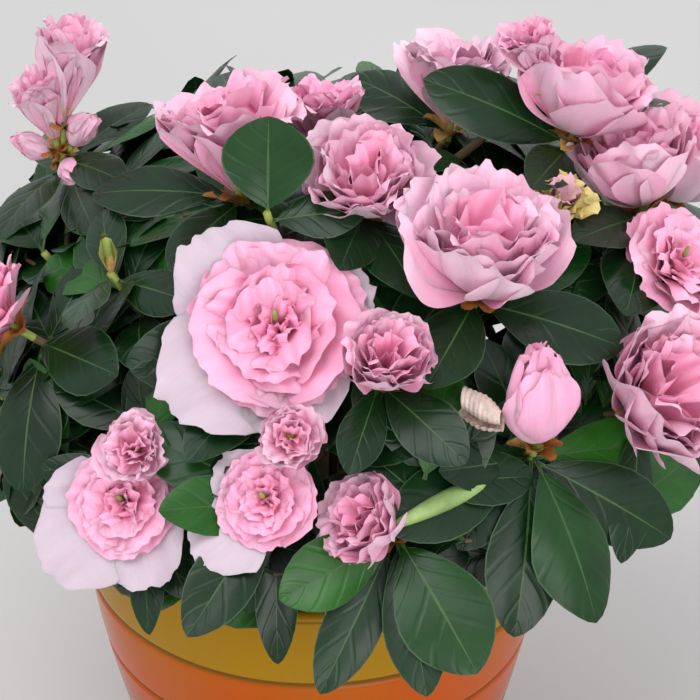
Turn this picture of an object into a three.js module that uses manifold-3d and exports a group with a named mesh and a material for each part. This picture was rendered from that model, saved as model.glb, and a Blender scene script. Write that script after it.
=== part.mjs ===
// Potted azalea shrub: a glazed pot, its compost, a short trunk, boughs and masses of foliage in bloom.
// Millimetres, +Z up. The origin is the centre of the pot's flat underside, +X to the right and +Y away.
// A direction is given as turn, the angle round the vertical from +X, and lean, the angle from straight up.

import * as THREE from 'three';
import { mergeVertices } from 'three/addons/utils/BufferGeometryUtils.js';
import Module from 'manifold-3d';

const wasm = await Module();
wasm.setup();
const { Manifold, Mesh: SolidMesh } = wasm;

// Driving sizes

const CLEAR = 0.3; // gap that touching pieces keep
const GRID = 0.002; // a fused mass has its corners on this grid, so that no two lie nearer

const POT = {
  height: 128,
  foot: 50, // radius of the underside
  belly: 73, // widest radius
  bellyHeight: 105,
  rim: 72,
  taper: 1.4, // how the side falls in from belly to foot
  wall: 5,
  floor: 7,
  topGroove: 103,
  grooveStep: 23.7,
  grooves: 4,
  grooveDepth: 1.1,
  grooveHalf: 1.3,
  sides: 40,
};

const SOIL = { top: 116 };
const INNER_HEIGHTS = [90, 60, 32]; // where the inside of the pot bends

const TRUNK = {
  radius: 6,
  tipRadius: 4.6,
  flare: 4.5, // added to the radius at the foot
  flareHeight: 8,
  height: 28,
  lean: 3, // how far the tip stands aside
  sides: 12,
  steps: 8,
};

// The crown is one dome of two half ellipsoids that share a level widest ring.
const CROWN = { x: 8, y: 2, z: 160, wide: 133, deep: 122, high: 98, low: 58 };

const BOUGH = {
  reach: 0.42, // share of the way to the dome at which it enters its mass
  radius: 3.1,
  tipRadius: 1.9,
  sides: 7,
  steps: 5,
  lowStart: 9, // the two heights on the trunk at which boughs start
  highStart: 19,
  startLean: 62,
};

const TWIG = {
  stemRadius: 1.9,
  stemSides: 5,
  stemSteps: 3,
  stemReach: 0.66, // share of the way to the dome that a mass's stem reaches
  radius: 1.5,
  tipRadius: 1.1,
  sunk: 4.6, // how deep the tip goes into its bloom
  neck: 12, // length of the last straight stretch
  sag: 0.12,
};

const LEAF = {
  length: 40,
  spread: 6, // most by which a length differs from that
  slimness: 0.44, // width as a share of length
  thick: 1.4,
  droop: 0.12,
  fold: 0.06,
  near: [0.34, 0.8], // the corners of the outline: share of the length, and of half the width
  far: [0.74, 1],
  ridge: 0.5, // where along its length it is thickest
  whorl: 7, // leaves round a shoot's tip
  tries: 14,
  open: [62, 26], // least angle from the shoot, and what may be added to it
  alike: 0.72, // two leaves whose directions agree more than this are too near
  levels: 3, // rings of side faces on a twig that carry leaves, one step apart
  step: 5,
  facing: 0.25, // least agreement of a leaf with the side face that bears it
  higher: 0.04, // how much a face one ring nearer the tip is preferred
};

// What is tried for a leaf: its share of the length, its swing in degrees, and its fold towards the light.
const LEAF_TRIES = [1, 0.88, 0.76].flatMap((share) => [0, 20, -20, 40, -40].flatMap((swing) => (
  [0, -0.2, 0.2, -0.4, 0.4].map((fold) => [share, swing, fold])
)));

const SPACE = {
  margin: 0.8, // a leaf keeps this far inside its own mass
  twigReach: 3.5, // how strongly a twig holds the space round it
  tipReach: 8,
  limbGap: 1.5,
  potGap: 2,
  leafGap: 2.5, // between the middles of two leaves
  bloomPoints: 20, // round each ring
  bloomGap: 3, // between a leaf and the points that mark a bloom's skin
};

// Blooms are closed solids of revolution with lobes. Each profile gives pairs of radius and height
// from the base to the middle, as shares of the bloom's radius.
const BLOOMS = {
  open: {
    profile: [[0, -0.42], [0.34, -0.3], [1.0, 0.02], [0.86, 0.26], [0.42, 0.42], [0, 0.3]],
    lobe: 0.1,
    round: 10,
  },
  half: {
    profile: [[0, -0.75], [0.5, -0.5], [0.98, 0.2], [0.8, 0.72], [0.34, 0.66], [0, 0.5]],
    lobe: 0.08,
    round: 10,
  },
  closed: {
    profile: [[0, -1.05], [0.6, -0.75], [1.0, -0.05], [0.86, 0.7], [0.45, 1.02], [0, 0.95]],
    lobe: 0.05,
    round: 7,
  },
};
const FRILL = 0.05; // height of the waves in a bloom's rim
const SHRINK = { step: 0.06, least: 0.4 }; // how a bloom is made smaller until it fits

const MASSES = [
  { name: 'top', turn: 20, lean: 0 },
  { name: 'front', turn: -92, lean: 66 },
  { name: 'front_right', turn: -50, lean: 66 },
  { name: 'right', turn: -8, lean: 68 },
  { name: 'back_right', turn: 40, lean: 66 },
  { name: 'back', turn: 90, lean: 66 },
  { name: 'back_left', turn: 138, lean: 66 },
  { name: 'left', turn: -176, lean: 66 },
  { name: 'front_left', turn: -134, lean: 66 },
];
const TOP_LEAN = 31; // a shoot nearer the vertical than this belongs to the top mass

// The shoots that face the viewer. tip is turn, lean and reach, where reach 1 is the dome's surface.
// A bloom has its kind, its width, and the turn and lean that it faces.
// A leaf is turn, lean, length and width.
const SHOOTS = [
  {
    tip: [164, 44, 0.95],
    bloom: ['closed', 27, 160, 6],
    leaves: [[-52, 80, 38, 13], [40, 72, 34, 14], [-115, 98, 38, 15], [-73, 92, 40, 15]],
  },
  {
    tip: [-137, 20, 0.84],
    bloom: ['half', 40, 165, 12],
    leaves: [[162, 97, 46, 17], [-125, 103, 33, 14], [-29, 80, 38, 17]],
  },
  {
    tip: [-140, 3, 0.84],
    bloom: ['half', 24, 90, 6],
    leaves: [],
  },
  {
    tip: [-79, 20, 0.85],
    bloom: ['half', 33, -90, 22],
    leaves: [[-103, 92, 32, 15], [-69, 98, 40, 17]],
  },
  {
    tip: [18, 17, 0.87],
    bloom: ['half', 32, 60, 8],
    leaves: [[146, 74, 36, 18]],
  },
  {
    tip: [-5, 30, 1],
    bloom: ['half', 36, -20, 8],
    leaves: [[-162, 76, 38, 18], [-112, 84, 36, 14]],
  },
  {
    tip: [-6, 22, 1.15],
    bloom: ['half', 16, 180, 22],
    leaves: [],
  },
  {
    tip: [36, 38, 1],
    bloom: null,
    leaves: [[-26, 84, 40, 16], [-150, 80, 36, 15], [0, 60, 40, 20]],
  },
  {
    tip: [-9, 45, 0.94],
    bloom: ['half', 36, 150, 14],
    leaves: [[-125, 76, 42, 15], [-101, 97, 46, 19]],
  },
  {
    tip: [-59, 40, 0.84],
    bloom: ['half', 43, -60, 12],
    leaves: [
      [-113, 101, 38, 18], [-12, 103, 42, 20], [36, 82, 42, 17], [26, 92, 46, 15],
      [177, 75, 32, 15],
    ],
  },
  {
    tip: [-103, 43, 0.76],
    bloom: ['open', 57, -96, 50],
    leaves: [[-166, 87, 44, 21], [-126, 106, 45, 17], [-100, 108, 43, 16]],
  },
  {
    tip: [-83, 52, 0.83],
    bloom: ['half', 24, -75, 28],
    leaves: [[-90, 118, 30, 13], [-61, 122, 32, 15]],
  },
  {
    tip: [-97, 61, 0.87],
    bloom: ['half', 16, -90, 55],
    leaves: [],
  },
  {
    tip: [-100, 74, 0.8],
    bloom: ['open', 32, -108, 55],
    leaves: [[-125, 124, 38, 13], [-159, 80, 33, 16], [-90, 155, 44, 11]],
  },
  {
    tip: [-82, 79, 0.84],
    bloom: ['half', 24, -155, 50],
    leaves: [[-22, 131, 44, 25], [-41, 141, 42, 17], [-139, 100, 31, 18], [-129, 143, 44, 17]],
  },
  {
    tip: [-122, 80, 0.8],
    bloom: ['open', 36, -108, 58],
    leaves: [[-86, 132, 36, 10], [-64, 115, 31, 12], [174, 70, 32, 14]],
  },
  {
    tip: [-120, 68, 0.86],
    bloom: ['half', 16, -100, 40],
    leaves: [],
  },
  {
    tip: [-60, 69, 0.84],
    bloom: ['closed', 23, -60, 5],
    leaves: [
      [-58, 139, 47, 23], [-100, 146, 48, 21], [4, 125, 50, 21], [26, 100, 46, 16],
      [-145, 75, 30, 13], [-144, 94, 46, 20], [-165, 66, 44, 17],
    ],
  },
  {
    tip: [-20, 53, 0.9],
    bloom: ['open', 44, -30, 40],
    leaves: [],
  },
  {
    tip: [-39, 69, 0.86],
    bloom: ['half', 42, -50, 45],
    leaves: [[-102, 141, 42, 14]],
  },
  {
    tip: [-150, 58, 0.9],
    bloom: ['open', 42, 178, 58],
    leaves: [[-44, 84, 34, 19], [-99, 138, 42, 20], [60, 60, 32, 14], [23, 70, 34, 14]],
  },
  {
    tip: [-146, 43, 0.84],
    bloom: ['closed', 9, -150, 20],
    leaves: [[-109, 92, 28, 12], [-39, 84, 30, 14], [105, 70, 28, 13]],
  },
  {
    tip: [-109, 27, 0.97],
    bloom: null,
    leaves: [[88, 22, 27, 25], [0, 84, 26, 14]],
  },
  {
    tip: [14, 56, 0.92],
    bloom: ['half', 40, -10, 20],
    leaves: [],
  },
];

// The rest of the crown: a spiral of shoots over the dome, which leaves out those near the shoots above.
const SPIRAL = {
  shoots: 150,
  lowestLean: 116,
  apart: 30,
  step: 137.508,
  reach: 0.86,
  wobble: 0.07,
  seed: 20,
};
// How the spiral's blooms are dealt out: each kind takes the draws below its limit, and the rest have none.
const BLOOM_SHARES = [
  { kind: 'open', below: 0.42, width: 42, more: 12, upright: 1 },
  { kind: 'half', below: 0.72, width: 30, more: 12, upright: 1 },
  { kind: 'closed', below: 0.86, width: 20, more: 6, upright: 0.5 },
];
const BLOOM_LEAN = [10, 45]; // least lean of a bloom, and what may be added to it
const VIEWER = new THREE.Vector3(0, -0.859, 0.512); // from the plant to the viewer
const BARE_SIDE = -0.25; // a spiral shoot that faces the viewer more than this bears leaves alone

const COLOURS = {
  glaze: 0xb98f1f,
  soil: 0x2b2018,
  bark: 0x6b4a2c,
  leaf: 0x2b4a28,
};

// Small helpers

const rad = THREE.MathUtils.degToRad;

function seeded(seed) {
  let state = seed;
  return () => {
    state = (state * 1664525 + 1013904223) % 4294967296;
    return state / 4294967296;
  };
}

function direction(turn, lean) {
  const t = rad(turn);
  const l = rad(lean);
  return new THREE.Vector3(Math.sin(l) * Math.cos(t), Math.sin(l) * Math.sin(t), Math.cos(l));
}

function crownPoint(turn, lean, reach) {
  const d = direction(turn, lean);
  const rise = d.z > 0 ? CROWN.high : CROWN.low;
  return new THREE.Vector3(
    CROWN.x + reach * CROWN.wide * d.x,
    CROWN.y + reach * CROWN.deep * d.y,
    CROWN.z + reach * rise * d.z,
  );
}

function between(a, b, share) {
  return new THREE.Vector3().lerpVectors(a, b, share);
}

function middleOf(points) {
  return points.reduce((sum, point) => sum.add(point), new THREE.Vector3()).divideScalar(points.length);
}

// The part of v that is square to the unit vector along, made one long.
function squareTo(v, along) {
  return v.clone().addScaledVector(along, -v.dot(along)).normalize();
}

// Two directions square to a unit vector and to each other.
function axesAbout(along) {
  const upright = Math.abs(along.z) < 0.9;
  const side = squareTo(upright ? new THREE.Vector3(0, 0, 1) : new THREE.Vector3(1, 0, 0), along);
  return { side, across: new THREE.Vector3().crossVectors(along, side) };
}

// Solids

function solidFrom(geometry) {
  const bare = geometry.clone();
  bare.deleteAttribute('normal');
  bare.deleteAttribute('uv');
  const merged = mergeVertices(bare, 1e-4);
  const corners = merged.index.array;
  const faces = [];
  for (let i = 0; i < corners.length; i += 3) {
    const [a, b, c] = [corners[i], corners[i + 1], corners[i + 2]];
    if (a !== b && b !== c && c !== a) {
      faces.push(a, b, c);
    }
  }
  return new Manifold(new SolidMesh({
    numProp: 3,
    vertProperties: new Float32Array(merged.attributes.position.array),
    triVerts: new Uint32Array(faces),
  }));
}

function geometryOf(solid) {
  const mesh = solid.getMesh();
  const geometry = new THREE.BufferGeometry();
  geometry.setAttribute('position', new THREE.BufferAttribute(mesh.vertProperties, 3));
  geometry.setIndex(new THREE.BufferAttribute(mesh.triVerts, 1));
  geometry.computeVertexNormals();
  return geometry;
}

// Drops loose scraps and fills hollows that joining has sealed.
function largestPiece(solid) {
  return solid.decompose().reduce((best, piece) => (piece.volume() > best.volume() ? piece : best));
}

// Moves every vertex of a geometry to where place(x, y, z) puts it.
function reshape(geometry, place) {
  const at = geometry.attributes.position;
  for (let i = 0; i < at.count; i += 1) {
    const p = place(at.getX(i), at.getY(i), at.getZ(i));
    at.setXYZ(i, p.x, p.y, p.z);
  }
  return geometry;
}

function onGrid(geometry) {
  const snap = (value) => Math.round(value / GRID) * GRID;
  return reshape(geometry, (x, y, z) => new THREE.Vector3(snap(x), snap(y), snap(z)));
}

// A lathe profile of radius and height pairs that starts and ends on the axis, turned to stand on +Z.
function lathe(profile, sides) {
  const points = profile.map(([r, h]) => new THREE.Vector2(r, h));
  return solidFrom(new THREE.LatheGeometry(points, sides).rotateX(Math.PI / 2));
}

// A limb: a cylinder bent along a curve, with radius(share) from its start to its end.
function limb(curve, radius, sides, steps) {
  const frames = curve.computeFrenetFrames(steps, false);
  const bar = new THREE.CylinderGeometry(1, 1, 1, sides, steps);
  return solidFrom(reshape(bar, (x, y, z) => {
    const k = Math.round((y + 0.5) * steps);
    const share = k / steps;
    const r = radius(share);
    return curve.getPoint(share)
      .addScaledVector(frames.normals[k], r * x)
      .addScaledVector(frames.binormals[k], -r * z);
  }));
}

// The pot and what fills it

function potRadius(z) {
  if (z > POT.bellyHeight) {
    const up = (z - POT.bellyHeight) / (POT.height - POT.bellyHeight);
    return POT.belly - (POT.belly - POT.rim) * up * up;
  }
  const down = (POT.bellyHeight - z) / POT.bellyHeight;
  return POT.belly - (POT.belly - POT.foot) * down ** POT.taper;
}

function potProfile() {
  const outside = [[POT.foot - 1.5, 0], [potRadius(2), 2]];
  for (let k = POT.grooves - 1; k >= 0; k -= 1) {
    const z = POT.topGroove - k * POT.grooveStep;
    const half = POT.grooveHalf;
    outside.push([potRadius(z - half), z - half]);
    outside.push([potRadius(z) - POT.grooveDepth, z]);
    outside.push([potRadius(z + half), z + half]);
    if (k > 0) {
      outside.push([potRadius(z + POT.grooveStep / 2), z + POT.grooveStep / 2]);
    }
  }
  const top = POT.height;
  const round = 1.5;
  const lip = [[POT.rim + 0.1, top - 6], [POT.rim, top - round], [POT.rim - round, top]];
  lip.push([POT.rim - POT.wall + 1, top]);
  const inside = [top - 3, SOIL.top, ...INNER_HEIGHTS, POT.floor].map((z) => [potRadius(z) - POT.wall, z]);
  return [[0, 0], ...outside, ...lip, ...inside, [0, POT.floor]];
}

function soilProfile() {
  const foot = POT.floor + CLEAR;
  const inset = POT.wall + CLEAR + 0.05;
  const side = [foot, ...INNER_HEIGHTS.toReversed(), SOIL.top].map((z) => [potRadius(z) - inset, z]);
  return [[0, foot], ...side, [0, SOIL.top]];
}

// Wood

const trunkFoot = new THREE.Vector3(0, 0, SOIL.top + CLEAR);
const trunkTip = new THREE.Vector3(TRUNK.lean, 0, SOIL.top + TRUNK.height);
const trunkMiddle = new THREE.Vector3(0, 0, SOIL.top + TRUNK.height / 2);
const trunkCurve = new THREE.QuadraticBezierCurve3(trunkFoot, trunkMiddle, trunkTip);

function trunkRadius(share) {
  const flare = TRUNK.flare * Math.exp(-share * TRUNK.height / (TRUNK.flareHeight / 2));
  return TRUNK.radius + (TRUNK.tipRadius - TRUNK.radius) * share + flare;
}

function trunkSolid(extra = 0) {
  return limb(trunkCurve, (share) => trunkRadius(share) + extra, TRUNK.sides, TRUNK.steps);
}

// Where each bough starts on the trunk and where it ends. Neighbours start at two heights in turn.
function boughCurve(mass, index) {
  const end = crownPoint(mass.turn, mass.lean, BOUGH.reach);
  if (index === 0) {
    const start = trunkTip.clone().add(new THREE.Vector3(0, 0, CLEAR));
    const middle = between(start, end, 0.5).add(new THREE.Vector3(2, 0, 0));
    return new THREE.QuadraticBezierCurve3(start, middle, end);
  }
  const height = index % 2 ? BOUGH.lowStart : BOUGH.highStart;
  const start = trunkCurve.getPoint(height / TRUNK.height);
  const flat = direction(mass.turn, BOUGH.startLean);
  const bend = start.clone().addScaledVector(flat, end.distanceTo(start) * 0.5);
  return new THREE.QuadraticBezierCurve3(start, bend, end);
}

function boughRadius(share) {
  return BOUGH.radius + (BOUGH.tipRadius - BOUGH.radius) * share;
}

// The shoots

function massOf(turn, lean) {
  if (lean < TOP_LEAN) {
    return 0;
  }
  const gapTo = (mass) => Math.abs(((turn - mass.turn + 540) % 360) - 180);
  let best = 1;
  for (let k = 2; k < MASSES.length; k += 1) {
    if (gapTo(MASSES[k]) < gapTo(MASSES[best])) {
      best = k;
    }
  }
  return best;
}

function makeShoot(tip, bloom, leaves) {
  const [turn, lean, reach] = tip;
  const at = crownPoint(turn, lean, reach);
  const out = at.clone().sub(new THREE.Vector3(CROWN.x, CROWN.y, CROWN.z - CROWN.low)).normalize();
  const shoot = { at, out, mass: massOf(turn, lean), bloom: null };
  if (bloom) {
    const [kind, width, faceTurn, faceLean] = bloom;
    const face = direction(faceTurn, faceLean);
    const base = -BLOOMS[kind].profile[0][1];
    const middle = at.clone().addScaledVector(face, (base * width) / 2 - 1);
    shoot.bloom = { kind, radius: width / 2, face, middle };
  }
  shoot.leaves = leaves.map(([t, l, length, width]) => ({ way: direction(t, l), length, width }));
  return shoot;
}

// Adds leaves round a shoot by the golden angle until it has a whorl, away from those it has.
function fillWhorl(shoot, random) {
  const { side, across } = axesAbout(shoot.out);
  const start = random() * 360;
  for (let k = 0; k < LEAF.tries && shoot.leaves.length < LEAF.whorl; k += 1) {
    const turn = rad(start + k * SPIRAL.step);
    const open = rad(LEAF.open[0] + LEAF.open[1] * random());
    const way = shoot.out.clone().multiplyScalar(Math.cos(open))
      .addScaledVector(side, Math.sin(open) * Math.cos(turn))
      .addScaledVector(across, Math.sin(open) * Math.sin(turn));
    const length = LEAF.length + LEAF.spread * (random() - 0.5) * 2;
    const near = shoot.leaves.some((leaf) => leaf.way.dot(way) > LEAF.alike);
    if (!near) {
      shoot.leaves.push({ way, length, width: length * LEAF.slimness });
    }
  }
}

function bloomFor(random, turn, out) {
  const draw = random();
  const size = random();
  const lean = BLOOM_LEAN[0] + BLOOM_LEAN[1] * random();
  const facesViewer = out.dot(VIEWER) > BARE_SIDE;
  const share = BLOOM_SHARES.find(({ below }) => draw < below);
  if (facesViewer || !share) {
    return null;
  }
  return [share.kind, share.width + share.more * size, turn, lean * share.upright];
}

function allShoots() {
  const random = seeded(SPIRAL.seed);
  const shoots = SHOOTS.map(({ tip, bloom, leaves }) => makeShoot(tip, bloom, leaves));
  const lowest = Math.cos(rad(SPIRAL.lowestLean));
  for (let k = 0; k < SPIRAL.shoots; k += 1) {
    const height = 1 - ((1 - lowest) * (k + 0.5)) / SPIRAL.shoots;
    const lean = THREE.MathUtils.radToDeg(Math.acos(height));
    const turn = ((k * SPIRAL.step + 180) % 360) - 180;
    const reach = SPIRAL.reach + SPIRAL.wobble * (random() - 0.5) * 2;
    const { out } = makeShoot([turn, lean, reach], null, []);
    const bloom = bloomFor(random, turn, out);
    const shoot = makeShoot([turn, lean, reach], bloom, []);
    if (shoots.every((other) => other.at.distanceTo(shoot.at) > SPIRAL.apart)) {
      shoots.push(shoot);
    }
  }
  shoots.forEach((shoot) => fillWhorl(shoot, random));
  return shoots;
}

// A twig leaves the stem between these shares of its length, the later the better it agrees with the stem.
const ASIDE = { from: 0.35, shares: [0.12, 0.92] };

// Each mass has one stem that goes on from its bough, and a twig to each shoot that leaves the stem
// the sooner, the further aside the shoot lies.
function growTwigs(shoots, curves) {
  MASSES.forEach((mass, index) => {
    const curve = curves[index];
    const end = curve.getPoint(1);
    const way = curve.getTangent(1);
    const stemStart = end.clone().addScaledVector(way, CLEAR);
    const stemEnd = crownPoint(mass.turn, mass.lean, TWIG.stemReach);
    const stemBend = stemStart.clone().addScaledVector(way, 8);
    mass.stem = new THREE.QuadraticBezierCurve3(stemStart, stemBend, stemEnd);
    const stemWay = stemEnd.clone().sub(stemStart).normalize();
    mass.shoots = shoots.filter((shoot) => shoot.mass === index);
    mass.shoots.forEach((shoot) => {
      const aim = shoot.at.clone().sub(stemStart).normalize();
      const ahead = (aim.dot(stemWay) - ASIDE.from) / (1 - ASIDE.from);
      const share = THREE.MathUtils.clamp(ahead, ...ASIDE.shares);
      const start = mass.stem.getPoint(share);
      const sag = -TWIG.sag * start.distanceTo(shoot.at);
      const bend = between(start, shoot.at, 0.5).addScaledVector(shoot.out, sag);
      const toBloom = shoot.bloom ? shoot.bloom.face.clone().add(shoot.out).normalize() : shoot.out;
      const tip = shoot.at.clone().addScaledVector(toBloom, shoot.bloom ? TWIG.sunk : 1);
      const neck = shoot.at.clone().addScaledVector(shoot.out, -TWIG.neck);
      shoot.twig = new THREE.CubicBezierCurve3(start, bend, neck, tip);
    });
  });
}

// The space of each mass. A point belongs to the mass whose wood or bloom holds it most strongly.
function spaceSites(shoots) {
  const sites = [];
  const hold = (at, reach, mass) => sites.push({ at, pull: reach * reach, mass });
  shoots.forEach((shoot) => {
    hold(shoot.at, SPACE.tipReach, shoot.mass);
    if (shoot.bloom) {
      hold(shoot.bloom.middle, shoot.bloom.radius, shoot.mass);
    }
    for (let k = 0; k < 6; k += 1) {
      hold(shoot.twig.getPoint(k / 6), SPACE.twigReach, shoot.mass);
    }
  });
  MASSES.forEach((mass, index) => {
    for (let k = 0; k <= 4; k += 1) {
      hold(mass.stem.getPoint(k / 4), SPACE.twigReach, index);
    }
  });
  return sites;
}

// How far a point lies inside its own mass's space, below zero outside it.
function depthInside(point, mass, sites) {
  let own = Infinity;
  let other = Infinity;
  let ownAt = null;
  let otherAt = null;
  sites.forEach((site) => {
    const far = point.distanceToSquared(site.at) - site.pull;
    if (site.mass === mass && far < own) {
      own = far;
      ownAt = site.at;
    }
    if (site.mass !== mass && far < other) {
      other = far;
      otherAt = site.at;
    }
  });
  return (other - own) / (2 * ownAt.distanceTo(otherAt));
}

function clearOfRest(point, wood) {
  if (point.z < POT.height + SPACE.potGap && Math.hypot(point.x, point.y) < POT.belly + SPACE.potGap) {
    return false;
  }
  return wood.every(({ at, radius }) => point.distanceTo(at) > radius + SPACE.limbGap);
}

function allowed(points, mass, sites, wood) {
  return points.every((point) => depthInside(point, mass, sites) > SPACE.margin && clearOfRest(point, wood));
}

// Leaves: flat, over an outline of a foot and five corners, widest past the middle, with a drooping tip.

function leafPlace(shoot, leaf) {
  const up = squareTo(shoot.out, leaf.way);
  const across = new THREE.Vector3().crossVectors(up, leaf.way);
  return (along, wide, thick) => leaf.root.clone()
    .addScaledVector(leaf.way, along * leaf.length)
    .addScaledVector(across, wide * leaf.width * 0.5)
    .addScaledVector(up, thick + leaf.length * (LEAF.fold * Math.abs(wide) - LEAF.droop * along * along));
}

function leafSamples(shoot, leaf) {
  const place = leafPlace(shoot, leaf);
  const points = [];
  for (let along = 0.28; along <= 1.01; along += 0.09) {
    const wide = along > 0.95 ? 0 : 1 - Math.abs(2 * along - 1.1) * 0.6;
    [-1, -0.5, 0, 0.5, 1].forEach((side) => points.push(place(along, side * wide, 0)));
  }
  return points;
}

// The rings of a three-sided twig, and its side faces near the tip, each of which can carry one leaf.
function twigFrame(shoot) {
  const long = shoot.twig.getLength();
  const leafy = Math.min(LEAF.levels * LEAF.step, long * 0.6);
  const bare = long - leafy - TWIG.sunk;
  const shares = [0, bare * 0.55];
  for (let level = 0; level <= LEAF.levels; level += 1) {
    shares.push(bare + (leafy * level) / LEAF.levels);
  }
  shares.push(long);
  const rings = shares.map((far) => {
    const share = far / long;
    const along = shoot.twig.getTangentAt(share);
    const { side, across } = axesAbout(along);
    const r = TWIG.radius + (TWIG.tipRadius - TWIG.radius) * share;
    const at = shoot.twig.getPointAt(share);
    return [0, 1, 2].map((k) => {
      const turn = (2 * Math.PI * k) / 3;
      return at.clone().addScaledVector(side, r * Math.cos(turn)).addScaledVector(across, r * Math.sin(turn));
    });
  });
  const seats = [];
  for (let ring = 2; ring < 2 + LEAF.levels; ring += 1) {
    for (let k = 0; k < 3; k += 1) {
      const next = (k + 1) % 3;
      const middle = middleOf([rings[ring][k], rings[ring][next], rings[ring + 1][next], rings[ring + 1][k]]);
      const axis = middleOf([...rings[ring], ...rings[ring + 1]]);
      seats.push({ ring, k, middle, facing: middle.clone().sub(axis).normalize(), leaf: null });
    }
  }
  return { rings, seats };
}

// The corners and faces of one leaf that grows out of the four corners of a twig's side face.
function growLeaf(shoot, leaf, foot, corners, faces) {
  const place = leafPlace(shoot, leaf);
  const half = LEAF.thick / 2;
  const first = corners.length;
  const { near, far, ridge } = LEAF;
  corners.push(place(near[0], near[1], 0), place(ridge, 0, half));
  corners.push(place(near[0], -near[1], 0), place(ridge, 0, -half));
  corners.push(place(far[0], far[1], 0), place(1, 0, 0), place(far[0], -far[1], 0));
  const [right, top, left, under, farRight, tip, farLeft] = [0, 1, 2, 3, 4, 5, 6].map((k) => first + k);
  const ring = [right, top, left, under];
  const lengthWith = (shift) => (
    ring.reduce((sum, n, k) => sum + corners[foot[(k + shift) % 4]].distanceTo(corners[n]), 0)
  );
  const shift = [0, 1, 2, 3].reduce((best, k) => (lengthWith(k) < lengthWith(best) ? k : best));
  ring.forEach((n, k) => {
    const next = ring[(k + 1) % 4];
    const low = foot[(k + shift) % 4];
    const lowNext = foot[(k + shift + 1) % 4];
    faces.push(low, lowNext, n, lowNext, next, n);
  });
  faces.push(top, farRight, right, top, tip, farRight, top, farLeft, tip, top, left, farLeft);
  faces.push(under, right, farRight, under, farRight, tip, under, tip, farLeft, under, farLeft, left);
}

// A twig and its leaves as one closed skin.
function leafyTwig(shoot) {
  const { rings, seats } = shoot.frame;
  const corners = rings.flat().map((corner) => corner.clone());
  const faces = [0, 2, 1];
  const last = (rings.length - 1) * 3;
  faces.push(last, last + 1, last + 2);
  for (let ring = 0; ring < rings.length - 1; ring += 1) {
    for (let k = 0; k < 3; k += 1) {
      const next = (k + 1) % 3;
      const foot = [ring * 3 + k, ring * 3 + next, (ring + 1) * 3 + next, (ring + 1) * 3 + k];
      const seat = seats.find((one) => one.ring === ring && one.k === k);
      if (seat && seat.leaf) {
        growLeaf(shoot, seat.leaf, foot, corners, faces);
      } else {
        faces.push(foot[0], foot[1], foot[2], foot[0], foot[2], foot[3]);
      }
    }
  }
  const geometry = new THREE.BufferGeometry().setFromPoints(corners);
  geometry.setIndex(faces);
  return solidFrom(geometry);
}

// The free side face of a twig that looks most the leaf's way, the higher ones first.
function bestSeat(seats, way) {
  const score = (seat) => seat.facing.dot(way) + LEAF.higher * seat.ring;
  const free = seats.filter((seat) => !seat.leaf && seat.facing.dot(way) > LEAF.facing);
  return free.length ? free.reduce((best, seat) => (score(seat) > score(best) ? seat : best)) : null;
}

function freeOf(points, taken) {
  return points.every((point) => taken.every(({ at, gap }) => point.distanceToSquared(at) > gap * gap));
}

// A leaf that would leave its space or cut another is tried folded, swung aside and shorter, or left out.
function seatLeaf(shoot, leaf, sites, wood, taken) {
  for (const [share, swing, fold] of LEAF_TRIES) {
    const way = leaf.way.clone().applyAxisAngle(shoot.out, rad(swing));
    way.addScaledVector(shoot.out, fold).normalize();
    const seat = bestSeat(shoot.frame.seats, way);
    if (seat) {
      const tried = { way, length: leaf.length * share, width: leaf.width * share, root: seat.middle };
      const points = leafSamples(shoot, tried);
      if (freeOf(points, taken) && allowed(points, shoot.mass, sites, wood)) {
        points.forEach((at) => taken.push({ at, gap: SPACE.leafGap }));
        seat.leaf = tried;
        return;
      }
    }
  }
}

// Blooms

function bloomPlace(bloom, scale) {
  const { profile, lobe } = BLOOMS[bloom.kind];
  const { side, across } = axesAbout(bloom.face);
  return (ring, turn) => {
    const [low, up] = [profile[Math.floor(ring)], profile[Math.ceil(ring)]];
    const part = ring - Math.floor(ring);
    const [r, h] = [low[0] + (up[0] - low[0]) * part, low[1] + (up[1] - low[1]) * part];
    const wave = 1 + lobe * Math.cos(5 * turn) * (ring >= 1.5 && ring <= 3.5 ? 1 : 0);
    const frill = ring === 3 ? FRILL * Math.cos(5 * turn + 1.5) : 0;
    const size = bloom.radius * scale;
    return bloom.middle.clone()
      .addScaledVector(bloom.face, size * (h + frill) + (1 - scale) * bloom.radius * profile[0][1])
      .addScaledVector(side, size * r * wave * Math.cos(turn))
      .addScaledVector(across, size * r * wave * Math.sin(turn));
  };
}

function bloomSolid(bloom, scale) {
  const { profile, round } = BLOOMS[bloom.kind];
  const rings = profile.length - 1;
  const place = bloomPlace(bloom, scale);
  return solidFrom(reshape(new THREE.SphereGeometry(1, round, rings), (x, y, z) => {
    const ring = rings - Math.round((Math.acos(THREE.MathUtils.clamp(y, -1, 1)) / Math.PI) * rings);
    return place(ring, Math.atan2(x, z));
  }));
}

function fittedBloom(bloom, mass, sites, wood, taken) {
  const { profile } = BLOOMS[bloom.kind];
  for (let scale = 1; scale > SHRINK.least; scale -= SHRINK.step) {
    const place = bloomPlace(bloom, scale);
    const points = [];
    for (let ring = 1; ring < profile.length; ring += 0.5) {
      for (let k = 0; k < SPACE.bloomPoints; k += 1) {
        points.push(place(Math.min(ring, profile.length - 1), (2 * Math.PI * k) / SPACE.bloomPoints));
      }
    }
    if (allowed(points, mass, sites, wood)) {
      points.forEach((at) => taken.push({ at, gap: SPACE.bloomGap }));
      return bloomSolid(bloom, scale);
    }
  }
  return null;
}

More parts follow.
